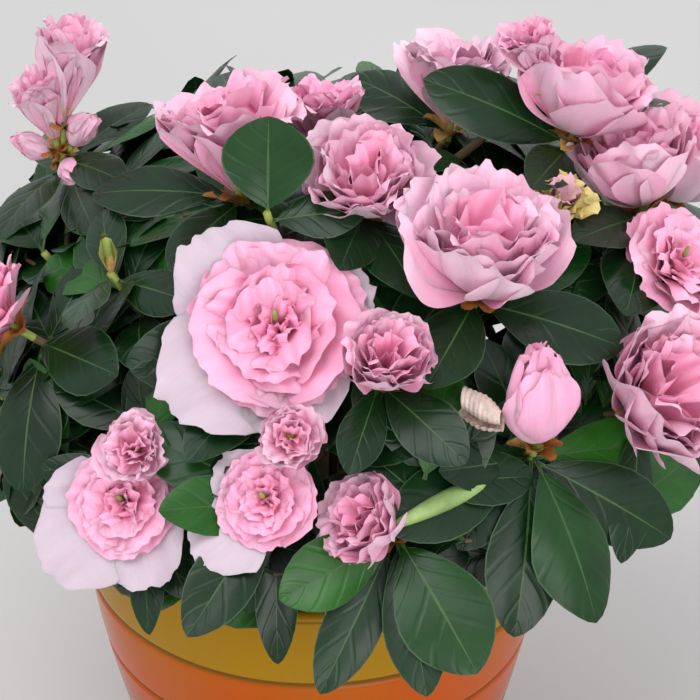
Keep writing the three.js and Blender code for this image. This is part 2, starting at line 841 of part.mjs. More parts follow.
// One mass: its stem, twigs, leaves and blooms in one piece, cut clear of the wood that carries it.
function massSolid(mass, sites, wood) {
  const stemTaper = (share) => TWIG.stemRadius + (TWIG.radius - TWIG.stemRadius) * share;
  const parts = [limb(mass.stem, stemTaper, TWIG.stemSides, TWIG.stemSteps)];
  const taken = [];
  mass.shoots.forEach((shoot) => {
    for (let k = 1; k < 8; k += 1) {
      taken.push({ at: shoot.twig.getPoint(k / 9), gap: SPACE.leafGap });
    }
    if (shoot.bloom) {
      const bloom = fittedBloom(shoot.bloom, shoot.mass, sites, wood, taken);
      if (bloom) {
        parts.push(bloom);
      }
    }
  });
  mass.shoots.forEach((shoot) => {
    shoot.frame = twigFrame(shoot);
    shoot.leaves.forEach((leaf) => seatLeaf(shoot, leaf, sites, wood, taken));
    parts.push(leafyTwig(shoot));
  });
  const fused = geometryOf(parts.reduce((sum, part) => sum.add(part)));
  return largestPiece(solidFrom(onGrid(fused)));
}

// The whole plant

function finish(name, solid, colour, roughness, metalness = 0) {
  const material = new THREE.MeshStandardMaterial({ color: colour, roughness, metalness });
  const mesh = new THREE.Mesh(geometryOf(solid), material);
  mesh.name = name;
  return mesh;
}

function buildPlant() {
  const plant = new THREE.Group();
  plant.add(finish('pot', lathe(potProfile(), POT.sides), COLOURS.glaze, 0.2));
  plant.add(finish('soil', lathe(soilProfile(), POT.sides), COLOURS.soil, 0.95));
  plant.add(finish('trunk', trunkSolid(), COLOURS.bark, 0.85));

  const curves = MASSES.map(boughCurve);
  const trunkRoom = trunkSolid(CLEAR);
  curves.forEach((curve, index) => {
    let bough = limb(curve, boughRadius, BOUGH.sides, BOUGH.steps);
    if (index > 0) {
      bough = bough.subtract(trunkRoom);
    }
    plant.add(finish(`bough_${MASSES[index].name}`, bough, COLOURS.bark, 0.85));
  });

  const shoots = allShoots();
  growTwigs(shoots, curves);
  const sites = spaceSites(shoots);
  const wood = curves.flatMap((curve) => (
    curve.getPoints(12).map((at, k) => ({ at, radius: boughRadius(k / 12) }))
  ));
  MASSES.forEach((mass) => {
    plant.add(finish(`foliage_${mass.name}`, massSolid(mass, sites, wood), COLOURS.leaf, 0.4));
  });
  return plant;
}

export default buildPlant();
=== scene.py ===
"""Looks of a potted azalea: glazed pot, compost, bark, leaves and double ruffled blooms.

The plant grows by the same rule as its solids: measured shoots on the viewer's side, a spiral of shoots over the
rest of the dome, a twig to each shoot, and whorls of leaves. Sizes inside the functions are in millimetres, and
each finished mesh is brought to metres. A direction is turn, the angle round the vertical from +X, and lean, the
angle from straight up, both in degrees.
"""

import math

import bpy
import numpy as np
from bpy.props import FloatProperty, FloatVectorProperty, IntProperty, PointerProperty
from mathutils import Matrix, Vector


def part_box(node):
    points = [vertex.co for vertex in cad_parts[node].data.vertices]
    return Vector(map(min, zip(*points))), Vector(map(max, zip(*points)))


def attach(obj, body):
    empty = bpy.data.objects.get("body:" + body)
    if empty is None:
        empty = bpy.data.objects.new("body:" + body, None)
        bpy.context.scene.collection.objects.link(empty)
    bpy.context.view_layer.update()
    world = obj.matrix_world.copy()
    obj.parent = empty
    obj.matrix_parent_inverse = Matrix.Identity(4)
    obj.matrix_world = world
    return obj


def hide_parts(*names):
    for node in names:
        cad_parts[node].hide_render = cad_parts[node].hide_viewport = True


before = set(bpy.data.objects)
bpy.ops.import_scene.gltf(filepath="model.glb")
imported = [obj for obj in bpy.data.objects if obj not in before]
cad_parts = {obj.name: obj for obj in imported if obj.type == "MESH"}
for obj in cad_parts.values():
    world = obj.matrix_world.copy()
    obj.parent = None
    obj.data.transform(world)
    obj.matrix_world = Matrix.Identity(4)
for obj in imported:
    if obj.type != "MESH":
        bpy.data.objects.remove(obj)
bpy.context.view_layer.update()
POT_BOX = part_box("pot")
BOUGHS = [name for name in sorted(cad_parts) if name.startswith("bough_")]
FOLIAGE = [name for name in sorted(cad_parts) if name.startswith("foliage_")]

bl_info = {
    "name": "Potted azalea",
    "version": (1, 0, 0),
    "blender": (4, 5, 0),
    "location": "View3D > Sidebar > Azalea",
    "description": "Makes a flowering azalea in its glazed pot, with a plain studio stage",
    "category": "Add Mesh",
}

MM = 0.001
GOLDEN = 137.508  # degrees between one leaf or shoot and the next

# The solids' sizes

SOIL_TOP = 116
POT = {"full": 105, "swell": 1.4, "fall": 1, "lip": 2.2, "floor": 7}
COMPOST = {"bottom": 7.6, "gap": 0.4, "edge": 3, "spread": 0.96}  # gap to the wall, edge's drop, crumbs' reach
GROOVES = {"top": 103, "step": 23.7, "count": 4, "half": 0.9}
TRUNK_FOOT, TRUNK_TIP = np.array([0, 0, 116.3]), np.array([3.0, 0, 144])
TRUNK = {"tall": 28, "radius": 6, "tip_radius": 4.6, "flare": 4.5, "fade": 4}
MIDDLE = np.array([8.0, 2, 160])  # of the crown
CROWN = {"wide": 133, "deep": 122, "high": 98, "low": 58}
BOUGH = {"reach": 0.42, "radius": 3.1, "tip_radius": 1.9, "starts": (19, 9), "lean": 62, "bend": 0.5}
STEM = {"radius": 1.9, "reach": 0.66, "straight": 8}
TWIG = {"radius": 1.5, "tip_radius": 1.1, "sunk": 4.6, "neck": 12, "sag": 0.12}
ASIDE = {"from": 0.35, "least": 0.12, "most": 0.92}
SPIRAL = {"shoots": 150, "lowest": 116, "apart": 30, "reach": 0.86, "wobble": 0.07, "seed": 20}
VIEWER = np.array([0, -0.859, 0.512])  # from the plant to the viewer
BARE_SIDE = -0.25  # a spiral shoot that faces the viewer more than this has no bloom
LEAF_RULE = {"length": 40, "spread": 6, "width": 0.44, "whorl": 7, "tries": 14, "open": (62, 26), "alike": 0.72}
LEAF_STEP = {"first": 1.0, "next": 1.3, "open": 0.28}  # down the shoot, and more under an open bloom
TOP_LEAN = 31

# The masses: name, turn and lean of the middle

MASSES = (
    ("top", 20, 0),
    ("front", -92, 66),
    ("front_right", -50, 66),
    ("right", -8, 68),
    ("back_right", 40, 66),
    ("back", 90, 66),
    ("back_left", 138, 66),
    ("left", -176, 66),
    ("front_left", -134, 66),
)

# How the spiral's blooms are dealt out: kind, limit of the draw, least width and what may be added to it, and the
# share of the drawn lean that it takes. The lean is drawn from a least value and what may be added.
BLOOM_SHARES = (("open", 0.42, 42, 12, 1), ("half", 0.72, 30, 12, 1), ("closed", 0.86, 20, 6, 0.5))
BLOOM_LEAN = (10, 45)

# Height of a bloom's middle over its foot, as a share of its radius
BLOOM_BASE = {"open": 0.42, "half": 0.75, "funnel": 0.8, "closed": 1.05}

# The shoots that face the viewer. Each is its tip, its blooms and its leaves, then its large outer petals, and the
# number of a leaf with a fleshy midrib. A tip is turn, lean and reach. A bloom is its kind, width, the turn and
# lean that it faces, its stretch along that way, its depth of pink and the length of its stalk. A leaf is turn,
# lean, length, width, and then its brightness where it isn't dark, and how far its face is turned to the viewer. A
# large outer petal is its angle round the bloom and its reach in bloom radii.
SHOOTS = (
    (
        (164, 44, 0.95),
        (
            ("funnel", 22, 5, 9, 1.8, -0.08, 14),
            ("funnel", 18, 178, 12, 1.6, -0.03, 7),
            ("closed", 11, -15, 38, 1.1, -0.15, 7),
            ("closed", 10, -175, 62, 1.1, -0.1, 4),
            ("closed", 11, -60, 100, 1.1, -0.05, 3),
        ),
        ((-52, 80, 38, 13), (40, 72, 34, 14), (-115, 98, 38, 15), (-73, 92, 40, 15)),
    ),
    (
        (-137, 20, 0.84),
        (("funnel", 39, 150, 13, 0.95, 0, 2),),
        ((162, 97, 46, 17), (-125, 103, 33, 14), (-29, 80, 38, 17, 1)),
    ),
    ((-140, 3, 0.84), (("funnel", 24, 90, 6, 1, 0.05, 1),)),
    ((-79, 20, 0.85), (("half", 33, -90, 22, 1, 0, 2),), ((-103, 92, 32, 15), (-69, 98, 40, 17))),
    ((18, 17, 0.87), (("funnel", 32, 60, 8, 1, -0.2, 3),), ((146, 74, 36, 18),)),
    ((-5, 30, 1), (("half", 36, -20, 8, 1.05, 0.05, 4),), ((-168, 61, 50, 19, 0, 0.7), (-112, 84, 36, 14))),
    ((-6, 22, 1.15), (("funnel", 17, 180, 22, 1.3, 0.05, 1),)),
    ((36, 38, 1), (), ((-26, 84, 40, 16), (-150, 80, 36, 15), (0, 60, 40, 20))),
    ((-9, 45, 0.94), (("half", 36, 150, 14, 1.05, 0.05, 4),), ((-125, 76, 42, 15), (-101, 97, 46, 19))),
    (
        (-59, 40, 0.84),
        (("half", 43, -60, 12, 1, -0.05, 3),),
        ((-113, 101, 38, 18), (-12, 103, 42, 20), (36, 82, 42, 17, 1), (26, 92, 46, 15), (177, 75, 32, 15)),
    ),
    (
        (-103, 43, 0.76),
        (("open", 57, -96, 50, 1, 0, 2),),
        ((-166, 87, 44, 21), (-126, 106, 45, 17), (-86, 118, 38, 15)),
        ((131, 1.2), (-165, 1.02), (47, 1.12), (-60, 0.92)),
    ),
    ((-83, 52, 0.83), (("half", 24, -75, 28, 1.05, 0.05, 4),), ((-48, 105, 34, 16), (-107, 112, 29, 12))),
    ((-97, 61, 0.87), (("half", 16, -90, 55, 0.8, 0.06, 2),)),
    (
        (-100, 74, 0.8),
        (("open", 32, -108, 55, 1, 0.08, 2),),
        ((-127, 120, 43, 17), (-159, 80, 33, 16, 2), (-90, 155, 44, 11)),
        ((142, 1.42), (62, 1.0)),
    ),
    (
        (-82, 79, 0.84),
        (("half", 24, -155, 50, 1, 0.1, 4),),
        ((-54, 124, 42, 25, 1), (-76, 132, 43, 16), (-149, 102, 36, 19, 2), (-128, 136, 46, 15)),
    ),
    (
        (-122, 80, 0.8),
        (("open", 36, -108, 58, 1, -0.04, 3),),
        ((-86, 132, 36, 10), (-64, 115, 31, 12), (174, 70, 32, 14)),
        ((142, 1.5), (-146, 1.3), (98, 1.2)),
    ),
    ((-120, 68, 0.86), (("half", 18, -100, 48, 0.75, 0.0, 2),)),
    (
        (-60, 69, 0.84),
        (("closed", 23, -60, 5, 1.1, 0, 6),),
        (
            (-58, 139, 47, 23, 1),
            (-100, 146, 48, 21),
            (4, 125, 50, 21),
            (26, 100, 46, 16, 2),
            (-145, 75, 30, 13),
            (-144, 94, 46, 20),
            (-165, 66, 44, 17),
        ),
        (),
        5,
    ),
    ((-20, 53, 0.9), (("open", 44, -30, 40, 1, -0.05, 3),)),
    ((-39, 69, 0.86), (("half", 42, -50, 45, 1, 0, 1),), ((-102, 141, 42, 14),)),
    (
        (-150, 58, 0.9),
        (("open", 42, 178, 58, 1, 0, 4),),
        ((-44, 84, 34, 19), (-99, 138, 42, 20), (60, 60, 32, 14), (23, 70, 34, 14)),
    ),
    ((-146, 43, 0.84), (), ((-109, 92, 28, 12, 1), (-39, 84, 30, 14), (105, 70, 28, 13))),
    ((-109, 27, 0.97), (), ((88, 22, 27, 25, 1, 1), (0, 84, 26, 14))),
    ((14, 56, 0.92), (("half", 40, -10, 20, 1, 0.05, 4),)),
)

# Petals ring by ring, from the outermost: how many, length in bloom radii, half width as a share of the length,
# the angles from the bloom's axis at foot and rim, the turn outward at the very rim, curl across, ruffle, waves,
# and depth of pink.
PETAL_RINGS = {
    "open": (
        (5, 0.95, 0.68, 50, 84, 16, 0.15, 0.04, 1.8, 0.42),
        (5, 0.93, 0.66, 40, 72, 22, 0.2, 0.055, 2.1, 0.45),
        (5, 0.85, 0.64, 28, 58, 28, 0.3, 0.065, 2.3, 0.48),
        (4, 0.74, 0.64, 16, 44, 30, 0.4, 0.08, 2.4, 0.53),
        (4, 0.62, 0.6, 6, 28, 30, 0.6, 0.09, 2.4, 0.6),
        (3, 0.48, 0.54, -2, 12, 24, 0.9, 0.1, 2.4, 0.7),
    ),
    "half": (
        (5, 1.62, 0.6, 72, 2, 26, 0.6, 0.035, 1.7, 0.14),
        (5, 1.6, 0.58, 60, 4, 32, 0.6, 0.045, 2.0, 0.18),
        (5, 1.52, 0.54, 46, 6, 36, 0.7, 0.055, 2.2, 0.24),
        (4, 1.44, 0.52, 30, 6, 34, 0.8, 0.065, 2.3, 0.3),
        (3, 1.36, 0.48, 12, 4, 26, 0.9, 0.075, 2.3, 0.4),
    ),
    "funnel": (
        (5, 1.8, 0.54, 28, 40, 38, 0.6, 0.035, 1.8, 0.22),
        (5, 1.76, 0.5, 20, 32, 38, 0.7, 0.045, 2.1, 0.28),
        (4, 1.7, 0.48, 12, 22, 34, 0.8, 0.055, 2.2, 0.36),
        (3, 1.58, 0.44, 4, 10, 28, 0.9, 0.065, 2.2, 0.46),
    ),
    "closed": (
        (4, 2.5, 0.39, 74, -60, 8, 1.0, 0.02, 1.3, 0.42),
        (4, 2.55, 0.36, 66, -58, 12, 1.1, 0.03, 1.6, 0.46),
        (3, 2.55, 0.32, 54, -52, 14, 1.2, 0.045, 1.8, 0.5),
        (3, 2.5, 0.27, 30, -36, 16, 1.2, 0.06, 1.9, 0.56),
    ),
}
TONES = 12  # steps from the palest to the deepest petal colour
PINK_AT = 0.4  # the share of those steps where the petals are plain pink

# Columns and rows of a leaf's grid, as shares across from -1 to 1 and along: the measured leaves, and the rest
FINE_LEAF = (
    (-1, -0.965, -0.66, -0.33, -0.03, 0.03, 0.33, 0.66, 0.965, 1),
    (0, 0.05, 0.1, 0.16, 0.24, 0.34, 0.45, 0.56, 0.67, 0.77, 0.86, 0.93, 0.975, 1),
)
PLAIN_LEAF = (-1, -0.96, -0.5, -0.03, 0.03, 0.5, 0.96, 1), (0, 0.1, 0.16, 0.27, 0.42, 0.58, 0.74, 0.87, 0.96, 1)
STALK = 0.1  # share of a leaf that is stalk
RIB = 3  # material of midrib and stalk
MARGIN = 4
PAINTED_SHADE = 5  # material of the leaves inside the crown: a darker green that is painted shade

# Stage: name of each light, its place in metres, its width, and its power as a share of the setting
LIGHTS = (
    ("Key light", (-0.8, -1.2, 2.9), 1.8, 1),
    ("Fill light", (0.9, -2.5, 0.75), 1.6, 0.85),
    ("Back light", (0.4, 1.9, 2.05), 1.6, 0.4),
)
LIT_POINT = (0.0, 0.0, 0.15)
SKY_COLOUR = (0.93, 0.95, 1.0, 1)
CAMERA = {"place": (0.0109, -0.5205, 0.4843), "pitch": 59.2}


def linear(red, green, blue):
    """Linear colour of an 8-bit display colour, by the usual display curve."""
    shares = [value / 255 for value in (red, green, blue)]
    return tuple(s / 12.92 if s <= 0.04045 else ((s + 0.055) / 1.055) ** 2.4 for s in shares)


# Vectors and curves


def vec(*values):
    """Numbers as an array of floats."""
    return np.array(values, dtype=float)


def unit(v):
    """Each vector divided by its length."""
    return v / np.linalg.norm(v, axis=-1, keepdims=True)


def direction(turn, lean):
    """The unit vector (sin lean cos turn, sin lean sin turn, cos lean)."""
    t, l = math.radians(turn), math.radians(lean)
    return vec(math.sin(l) * math.cos(t), math.sin(l) * math.sin(t), math.cos(l))


def square_to(v, along):
    """What is left of v when its share along the unit vector is taken away, made one long."""
    return unit(v - along * (v * along).sum(-1, keepdims=True))


def axes_about(along):
    """Two unit vectors square to along and to each other. The first leans to +Z, or to +X where along is upright."""
    upright = np.abs(along[..., 2:3]) < 0.9
    side = square_to(np.where(upright, vec(0, 0, 1), vec(1, 0, 0)), along)
    return side, np.cross(along, side)


def swung(first, second, degrees):
    """The first vector swung towards the second, which is square to it: first cos + second sin."""
    a = math.radians(degrees)
    return first * math.cos(a) + second * math.sin(a)


def bezier(controls, shares):
    """Points of a Bezier curve: the controls are blended in pairs by the share until one point is left."""
    left = [np.asarray(c, float)[None, :] for c in controls]
    t = np.atleast_1d(shares)[:, None]
    while len(left) > 1:
        left = [a + (b - a) * t for a, b in zip(left, left[1:])]
    return left[0] * np.ones_like(t)


# Meshes from grids


def grid_batch(points, colour=0, closed=False):
    """A batch of equal grids (n, a, b, 3), with a colour for each face. Closed ones join round a, with flat caps."""
    return {"points": points, "colour": colour, "closed": closed}


def grid_faces(batch, first):
    """Four-cornered faces (i, j), (i+1, j), (i+1, j+1), (i, j+1) of every grid, and its caps as rings of corners.

    A cap has the colour of the faces beside it.
    """
    n, a, b = batch["points"].shape[:3]
    closed = batch["closed"]
    index = first + np.arange(n * a * b).reshape(n, a, b)
    low = index if closed else index[:, :-1]
    high = np.roll(index, -1, axis=1) if closed else index[:, 1:]
    quads = np.stack([low[:, :, :-1], high[:, :, :-1], high[:, :, 1:], low[:, :, 1:]], axis=-1)
    colours = np.broadcast_to(batch["colour"], quads.shape[:3])
    caps = np.concatenate([index[:, ::-1, 0], index[:, :, -1]]) if closed else np.zeros((0, a), int)
    ends = np.concatenate([colours[:, 0, 0], colours[:, 0, -1]])[: len(caps)]
    return quads.reshape(-1, 4), colours.reshape(-1), caps, ends


def place_shares(batch):
    """The share across and the share along of each point of every grid."""
    n, a, b = batch["points"].shape[:3]
    plane = np.stack(np.meshgrid(np.linspace(0, 1, a), np.linspace(0, 1, b), indexing="ij"), axis=-1)
    return np.tile(plane.reshape(-1, 2), (n, 1))


def make_piece(name, batches, materials, nodes=()):
    """One object from batches of grids, in metres, with its place in its mesh."""
    vertices, corners, starts, colours, shares = [], [], [], [], []
    first = loops = 0
    for batch in batches:
        quads, quad_colours, caps, cap_colours = grid_faces(batch, first)
        vertices.append(batch["points"].reshape(-1, 3))
        shares.append(place_shares(batch))
        corners += [quads.reshape(-1), caps.reshape(-1)]
        sides = np.concatenate([np.full(len(quads), 4), np.full(len(caps), caps.shape[1])])
        starts.append(loops + np.concatenate([[0], np.cumsum(sides)[:-1]]))
        colours += [quad_colours, cap_colours]
        loops += int(sides.sum())
        first += len(vertices[-1])
    vertices = np.concatenate(vertices) * MM
    corners = np.concatenate(corners).astype(np.int32)
    starts = np.concatenate(starts).astype(np.int32)
    mesh = bpy.data.meshes.new(name)
    mesh.vertices.add(len(vertices))
    mesh.vertices.foreach_set("co", vertices.reshape(-1))
    mesh.loops.add(len(corners))
    mesh.loops.foreach_set("vertex_index", corners)
    mesh.polygons.add(len(starts))
    mesh.polygons.foreach_set("loop_start", starts)
    mesh.polygons.foreach_set("material_index", np.concatenate(colours).astype(np.int32))
    mesh.polygons.foreach_set("use_smooth", np.ones(len(starts), bool))
    mesh.update(calc_edges=True)
    layer = mesh.uv_layers.new(name="Shares")
    layer.data.foreach_set("uv", np.concatenate(shares)[corners].reshape(-1))
    mesh.validate()
    for material in materials:
        mesh.materials.append(material)
    piece = bpy.data.objects.new(name, mesh)
    bpy.context.scene.collection.objects.link(piece)
    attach(piece, "root")
    if nodes:
        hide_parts(*nodes)


def tubes(paths, radii, sides, colour=0):
    """Tubes round paths (n, m, 3): each ring is path + radius (side cos a + across sin a) for angles a round it.

    radii goes along the path, or is (n, sides, m) where the skin has relief.
    """
    side, across = axes_about(unit(np.gradient(paths, axis=1)))
    angle = np.linspace(0, 2 * np.pi, sides, endpoint=False)[None, :, None, None]
    ring = np.cos(angle) * side[:, None] + np.sin(angle) * across[:, None]
    reach = np.broadcast_to(radii, (len(paths), sides, paths.shape[1]))
    return grid_batch(paths[:, None] + ring * reach[..., None], colour, closed=True)


def lathe(profile, sides):
    """A profile of radius and height (m, 2) carried round the vertical axis."""
    angle = np.linspace(0, 2 * np.pi, sides, endpoint=False)[:, None]
    radius, height = profile[None, :, 0], profile[None, :, 1]
    return np.stack([radius * np.cos(angle), radius * np.sin(angle), height + 0 * angle], axis=-1)[None]


# Materials


def shade(colour, factor):
    """A colour times a factor, with no part over 1."""
    return tuple(min(1.0, c * factor) for c in colour)


class Finish:
    """A material with its Principled shader. Its methods add nodes, and give the socket that they end in.

    Here lumps and depths are in metres, as Object coordinates are.
    """

    def __init__(self, name, colour, roughness):
        self.material = bpy.data.materials.new(name)
        self.material.use_nodes = True
        self.tree = self.material.node_tree
        self.dress({"Base Color": (*colour, 1), "Roughness": roughness})

    def dress(self, inputs):
        """Sets or links inputs of the shader, and gives the material."""
        self.fill(self.tree.nodes["Principled BSDF"], inputs)
        return self.material

    def fill(self, node, inputs):
        """Links each input that is given as a socket, and sets the others."""
        for key, value in inputs.items():
            if isinstance(value, bpy.types.NodeSocket):
                self.tree.links.new(value, node.inputs[key])
            else:
                node.inputs[key].default_value = value
        return node.outputs

    def put(self, kind, inputs=None, **settings):
        """Adds a node with its settings and inputs, and gives its outputs."""
        node = self.tree.nodes.new(kind)
        for key, value in settings.items():
            setattr(node, key, value)
        return self.fill(node, inputs or {})

    def chain(self, value, *steps):
        """A value carried through steps in turn, each an operation and its second value."""
        for operation, second in zip(steps[::2], steps[1::2]):
            value = self.put("ShaderNodeMath", {0: value, 1: second}, operation=operation)[0]
        return value

    def place(self):
        """Object coordinates."""
        return self.put("ShaderNodeTexCoord")["Object"]

    def shares(self):
        """The shares across and along of the piece's own map, as the first two of three numbers."""
        return self.put("ShaderNodeSeparateXYZ", {0: self.put("ShaderNodeUVMap", uv_map="Shares")[0]})

    def noise(self, lump, detail=3.0, stretch=(1, 1, 1)):
        """A noise in Object coordinates, with lumps about lump across, drawn out by stretch."""
        scaled = self.put("ShaderNodeMapping", {"Vector": self.place(), "Scale": stretch})[0]
        return self.put("ShaderNodeTexNoise", {"Vector": scaled, "Scale": 0.5 / lump, "Detail": detail})["Fac"]

    def spread(self, value, low, high, to_low=0.0, to_high=1.0):
        """A value between low and high carried to between to_low and to_high, and held there."""
        limits = {"Value": value, "From Min": low, "From Max": high, "To Min": to_low, "To Max": to_high}
        return self.put("ShaderNodeMapRange", limits)[0]

    def cloud(self, lump, to_low=0.0, to_high=1.0, detail=3.0, stretch=(1, 1, 1)):
        """A noise whose middle part is spread to between to_low and to_high."""
        return self.spread(self.noise(lump, detail, stretch), 0.3, 0.7, to_low, to_high)

    def mix(self, factor, first, second):
        """Two colours mixed by a factor. A colour is three numbers or a socket."""
        wide = [c if isinstance(c, bpy.types.NodeSocket) else (*c, 1) for c in (first, second)]
        return self.put("ShaderNodeMix", {0: factor, 6: wide[0], 7: wide[1]}, data_type="RGBA")[2]

    def bump(self, height, distance, strength=1.0):
        """A normal from a height in relief."""
        return self.put("ShaderNodeBump", {"Height": height, "Distance": distance, "Strength": strength})[0]


def mottled(name, colour, roughness, lump, depth, relief=0.0001):
    """A surface whose colour drifts by depth either way over lumps of a size, with a finer grain in relief."""
    f = Finish(name, colour, roughness)
    return f.dress({
        "Base Color": f.mix(f.cloud(lump), shade(colour, 1 - depth), shade(colour, 1 + depth)),
        "Normal": f.bump(f.noise(lump / 5, 4.0), relief),
        "Roughness": f.cloud(lump / 2, roughness * 0.85, roughness * 1.1),
    })


def blade_material(name, colour, gloss, veins=7.5, slant=4.2):
    """A leaf's blade: side veins sunk in relief, slanting forward from the midrib, and a slow drift of green."""
    f = Finish(name, colour, gloss)
    shares = f.shares()
    aside = f.chain(shares[0], "SUBTRACT", 0.5, "ABSOLUTE", 0)
    along = f.chain(shares[1], "MULTIPLY", veins, "SUBTRACT", f.chain(aside, "MULTIPLY", slant))
    vein = f.spread(f.chain(along, "MULTIPLY", 2 * math.pi, "COSINE", 0), 0.55, 1.0)
    green = f.mix(f.cloud(0.007), shade(colour, 0.72), shade(colour, 1.3))
    quilt = f.chain(f.noise(0.0022, 2.0), "MULTIPLY", 0.8, "SUBTRACT", vein)
    return f.dress({
        "Base Color": f.mix(f.chain(vein, "MULTIPLY", 0.12), green, shade(colour, 1.8)),
        "Normal": f.bump(quilt, 0.00015, 0.5),
        "Roughness": f.cloud(0.004, gloss * 0.8, gloss * 1.25),
        "Specular IOR Level": 0.32,
    })


def petal_material(name, colour, veins=26.0):
    """A petal: fine veins that run from its foot to its rim, a soft sheen and a little light let through."""
    f = Finish(name, colour, 0.55)
    shares = f.shares()
    fan = {0: f.chain(shares[0], "MULTIPLY", veins), 1: f.chain(shares[1], "MULTIPLY", 2.0)}
    streaks = {"Vector": f.put("ShaderNodeCombineXYZ", fan)[0], "Scale": 1.0, "Detail": 2.0}
    vein = f.put("ShaderNodeTexNoise", streaks)["Fac"]
    tint = f.mix(f.cloud(0.006), shade(colour, 0.95), shade(colour, 1.05))
    deep = (colour[0] * 0.94, colour[1] * 0.78, colour[2] * 0.88)
    crepe = f.chain(vein, "ADD", f.chain(f.noise(0.0012, 2.0), "MULTIPLY", 0.5))
    return f.dress({
        "Base Color": f.mix(f.spread(vein, 0.5, 0.8, 0.0, 0.3), tint, deep),
        "Normal": f.bump(crepe, 0.00025, 0.6),
        "Subsurface Weight": 0.4,
        "Subsurface Radius": (0.004, 0.0022, 0.003),
        "Subsurface Scale": 1.0,
        "Sheen Weight": 0.15,
        "Sheen Roughness": 0.5,
    })


def bark_material(colour):
    """Bark: grey-brown plates drawn out along the limb, with dark furrows in relief, and some lichen."""
    f = Finish("Bark", colour, 0.85)
    plates = f.noise(0.0035, 5.0, (1, 1, 0.35))
    brown = f.mix(f.spread(plates, 0.36, 0.6), shade(colour, 0.4), shade(colour, 1.35))
    lichen = f.spread(f.noise(0.008), 0.55, 0.75, 0.0, 0.4)
    crusted = f.mix(lichen, brown, linear(142, 138, 118))
    return f.dress({"Base Color": crusted, "Normal": f.bump(plates, 0.0009)})


def glaze_material(s):
    """Glaze: yellow above the top groove, run into orange and red below it, pooled dark in the grooves."""
    f = Finish("Pot glaze", s.middle, 0.16)
    top, step = GROOVES["top"] * MM, GROOVES["step"] * MM
    height = f.put("ShaderNodeSeparateXYZ", {0: f.place()})[2]
    run = f.chain(f.noise(0.03, 3.0, (1, 1, 0.3)), "SUBTRACT", 0.5, "MULTIPLY", 0.012)
    level = f.chain(height, "ADD", run)
    base = f.mix(f.spread(level, top - 1.15 * step, top - 2.2 * step), s.middle, s.lower)
    warm = f.spread(level, top - 0.2 * step, top - step)
    base = f.mix(warm, f.mix(0.2, s.middle, s.upper), base)
    base = f.mix(f.spread(height, top - 0.0012, top + 0.0004), base, s.upper)
    cloud = f.cloud(0.018, detail=4.0, stretch=(1, 1, 0.5))
    base = f.mix(f.chain(cloud, "MULTIPLY", 0.3), base, (0.3, 0.17, 0.03))
    ring = f.chain(top + step / 2, "SUBTRACT", height, "DIVIDE", step, "FRACT", 0)
    off = f.chain(ring, "SUBTRACT", 0.5, "ABSOLUTE", 0)
    below = f.spread(height, top + 0.004, top + 0.003)
    pooled = f.chain(f.spread(off, 0.055, 0.015), "MULTIPLY", below, "MULTIPLY", 0.8)
    return f.dress({
        "Base Color": f.mix(pooled, base, s.line),
        "Normal": f.bump(f.noise(0.004, 2.0), 0.00006),
        "Roughness": f.spread(cloud, 0, 1, 0.12, 0.24),
        "Specular IOR Level": 0.14,
    })


# The plant's rule, the same as the solids follow


def seeded(seed):
    """Numbers from 0 to 1: each state is the last times 1664525 plus 1013904223, within 2 to the 32."""
    state = seed
    while True:
        state = (state * 1664525 + 1013904223) % 4294967296
        yield state / 4294967296


def crown_point(turn, lean, reach):
    """The crown's middle plus reach times the half axes times the direction. Below the middle it is flatter."""
    d = direction(turn, lean)
    rise = CROWN["high"] if d[2] > 0 else CROWN["low"]
    return MIDDLE + reach * d * vec(CROWN["wide"], CROWN["deep"], rise)


def reach_of(points):
    """How far points lie from the crown's middle, as a share of the dome's half axes."""
    d = points - MIDDLE
    rise = np.where(d[..., 2] > 0, CROWN["high"], CROWN["low"])
    x, y, z = d[..., 0] / CROWN["wide"], d[..., 1] / CROWN["deep"], d[..., 2] / rise
    return np.sqrt(x**2 + y**2 + z**2)


def outward(at):
    """The way to a point from the bottom of the dome."""
    return unit(at - MIDDLE + vec(0, 0, CROWN["low"]))


def mass_of(turn, lean):
    """The number of the mass that a shoot belongs to: the top one, or else the nearest in turn."""
    if lean < TOP_LEAN:
        return 0
    gaps = [abs((turn - mass[1] + 540) % 360 - 180) for mass in MASSES[1:]]
    return 1 + gaps.index(min(gaps))


def make_bloom(at, kind, width, turn, lean, stretch=1.0, pink=0.0, stalk=2.0):
    """A bloom on its stalk, with its middle out along the way that it faces."""
    face = direction(turn, lean)
    foot = at + face * (stalk - 1)
    middle = foot + face * BLOOM_BASE[kind] * width / 2 * stretch
    bloom = {"kind": kind, "radius": width / 2, "face": face, "foot": foot, "middle": middle}
    return bloom | {"stretch": stretch, "pink": pink}


def make_shoot(tip, blooms=(), leaves=(), petals=(), rib=None, measured=True):
    """A shoot with its blooms and leaves. A dark leaf is turned partly to the viewer where no value says so."""
    at = crown_point(*tip)
    rows = []
    for turn, lean, length, width, *rest in leaves:
        bright, toward = rest if len(rest) == 2 else (*rest, 0) if rest else (0, 0.45)
        rows.append({"way": direction(turn, lean), "length": length, "width": width})
        rows[-1] |= {"bright": bright, "toward": toward}
    shoot = {"at": at, "out": outward(at), "mass": mass_of(*tip[:2]), "leaves": rows}
    shoot["blooms"] = [make_bloom(at, *bloom) for bloom in blooms]
    return shoot | {"petals": petals, "rib": rib, "measured": measured}


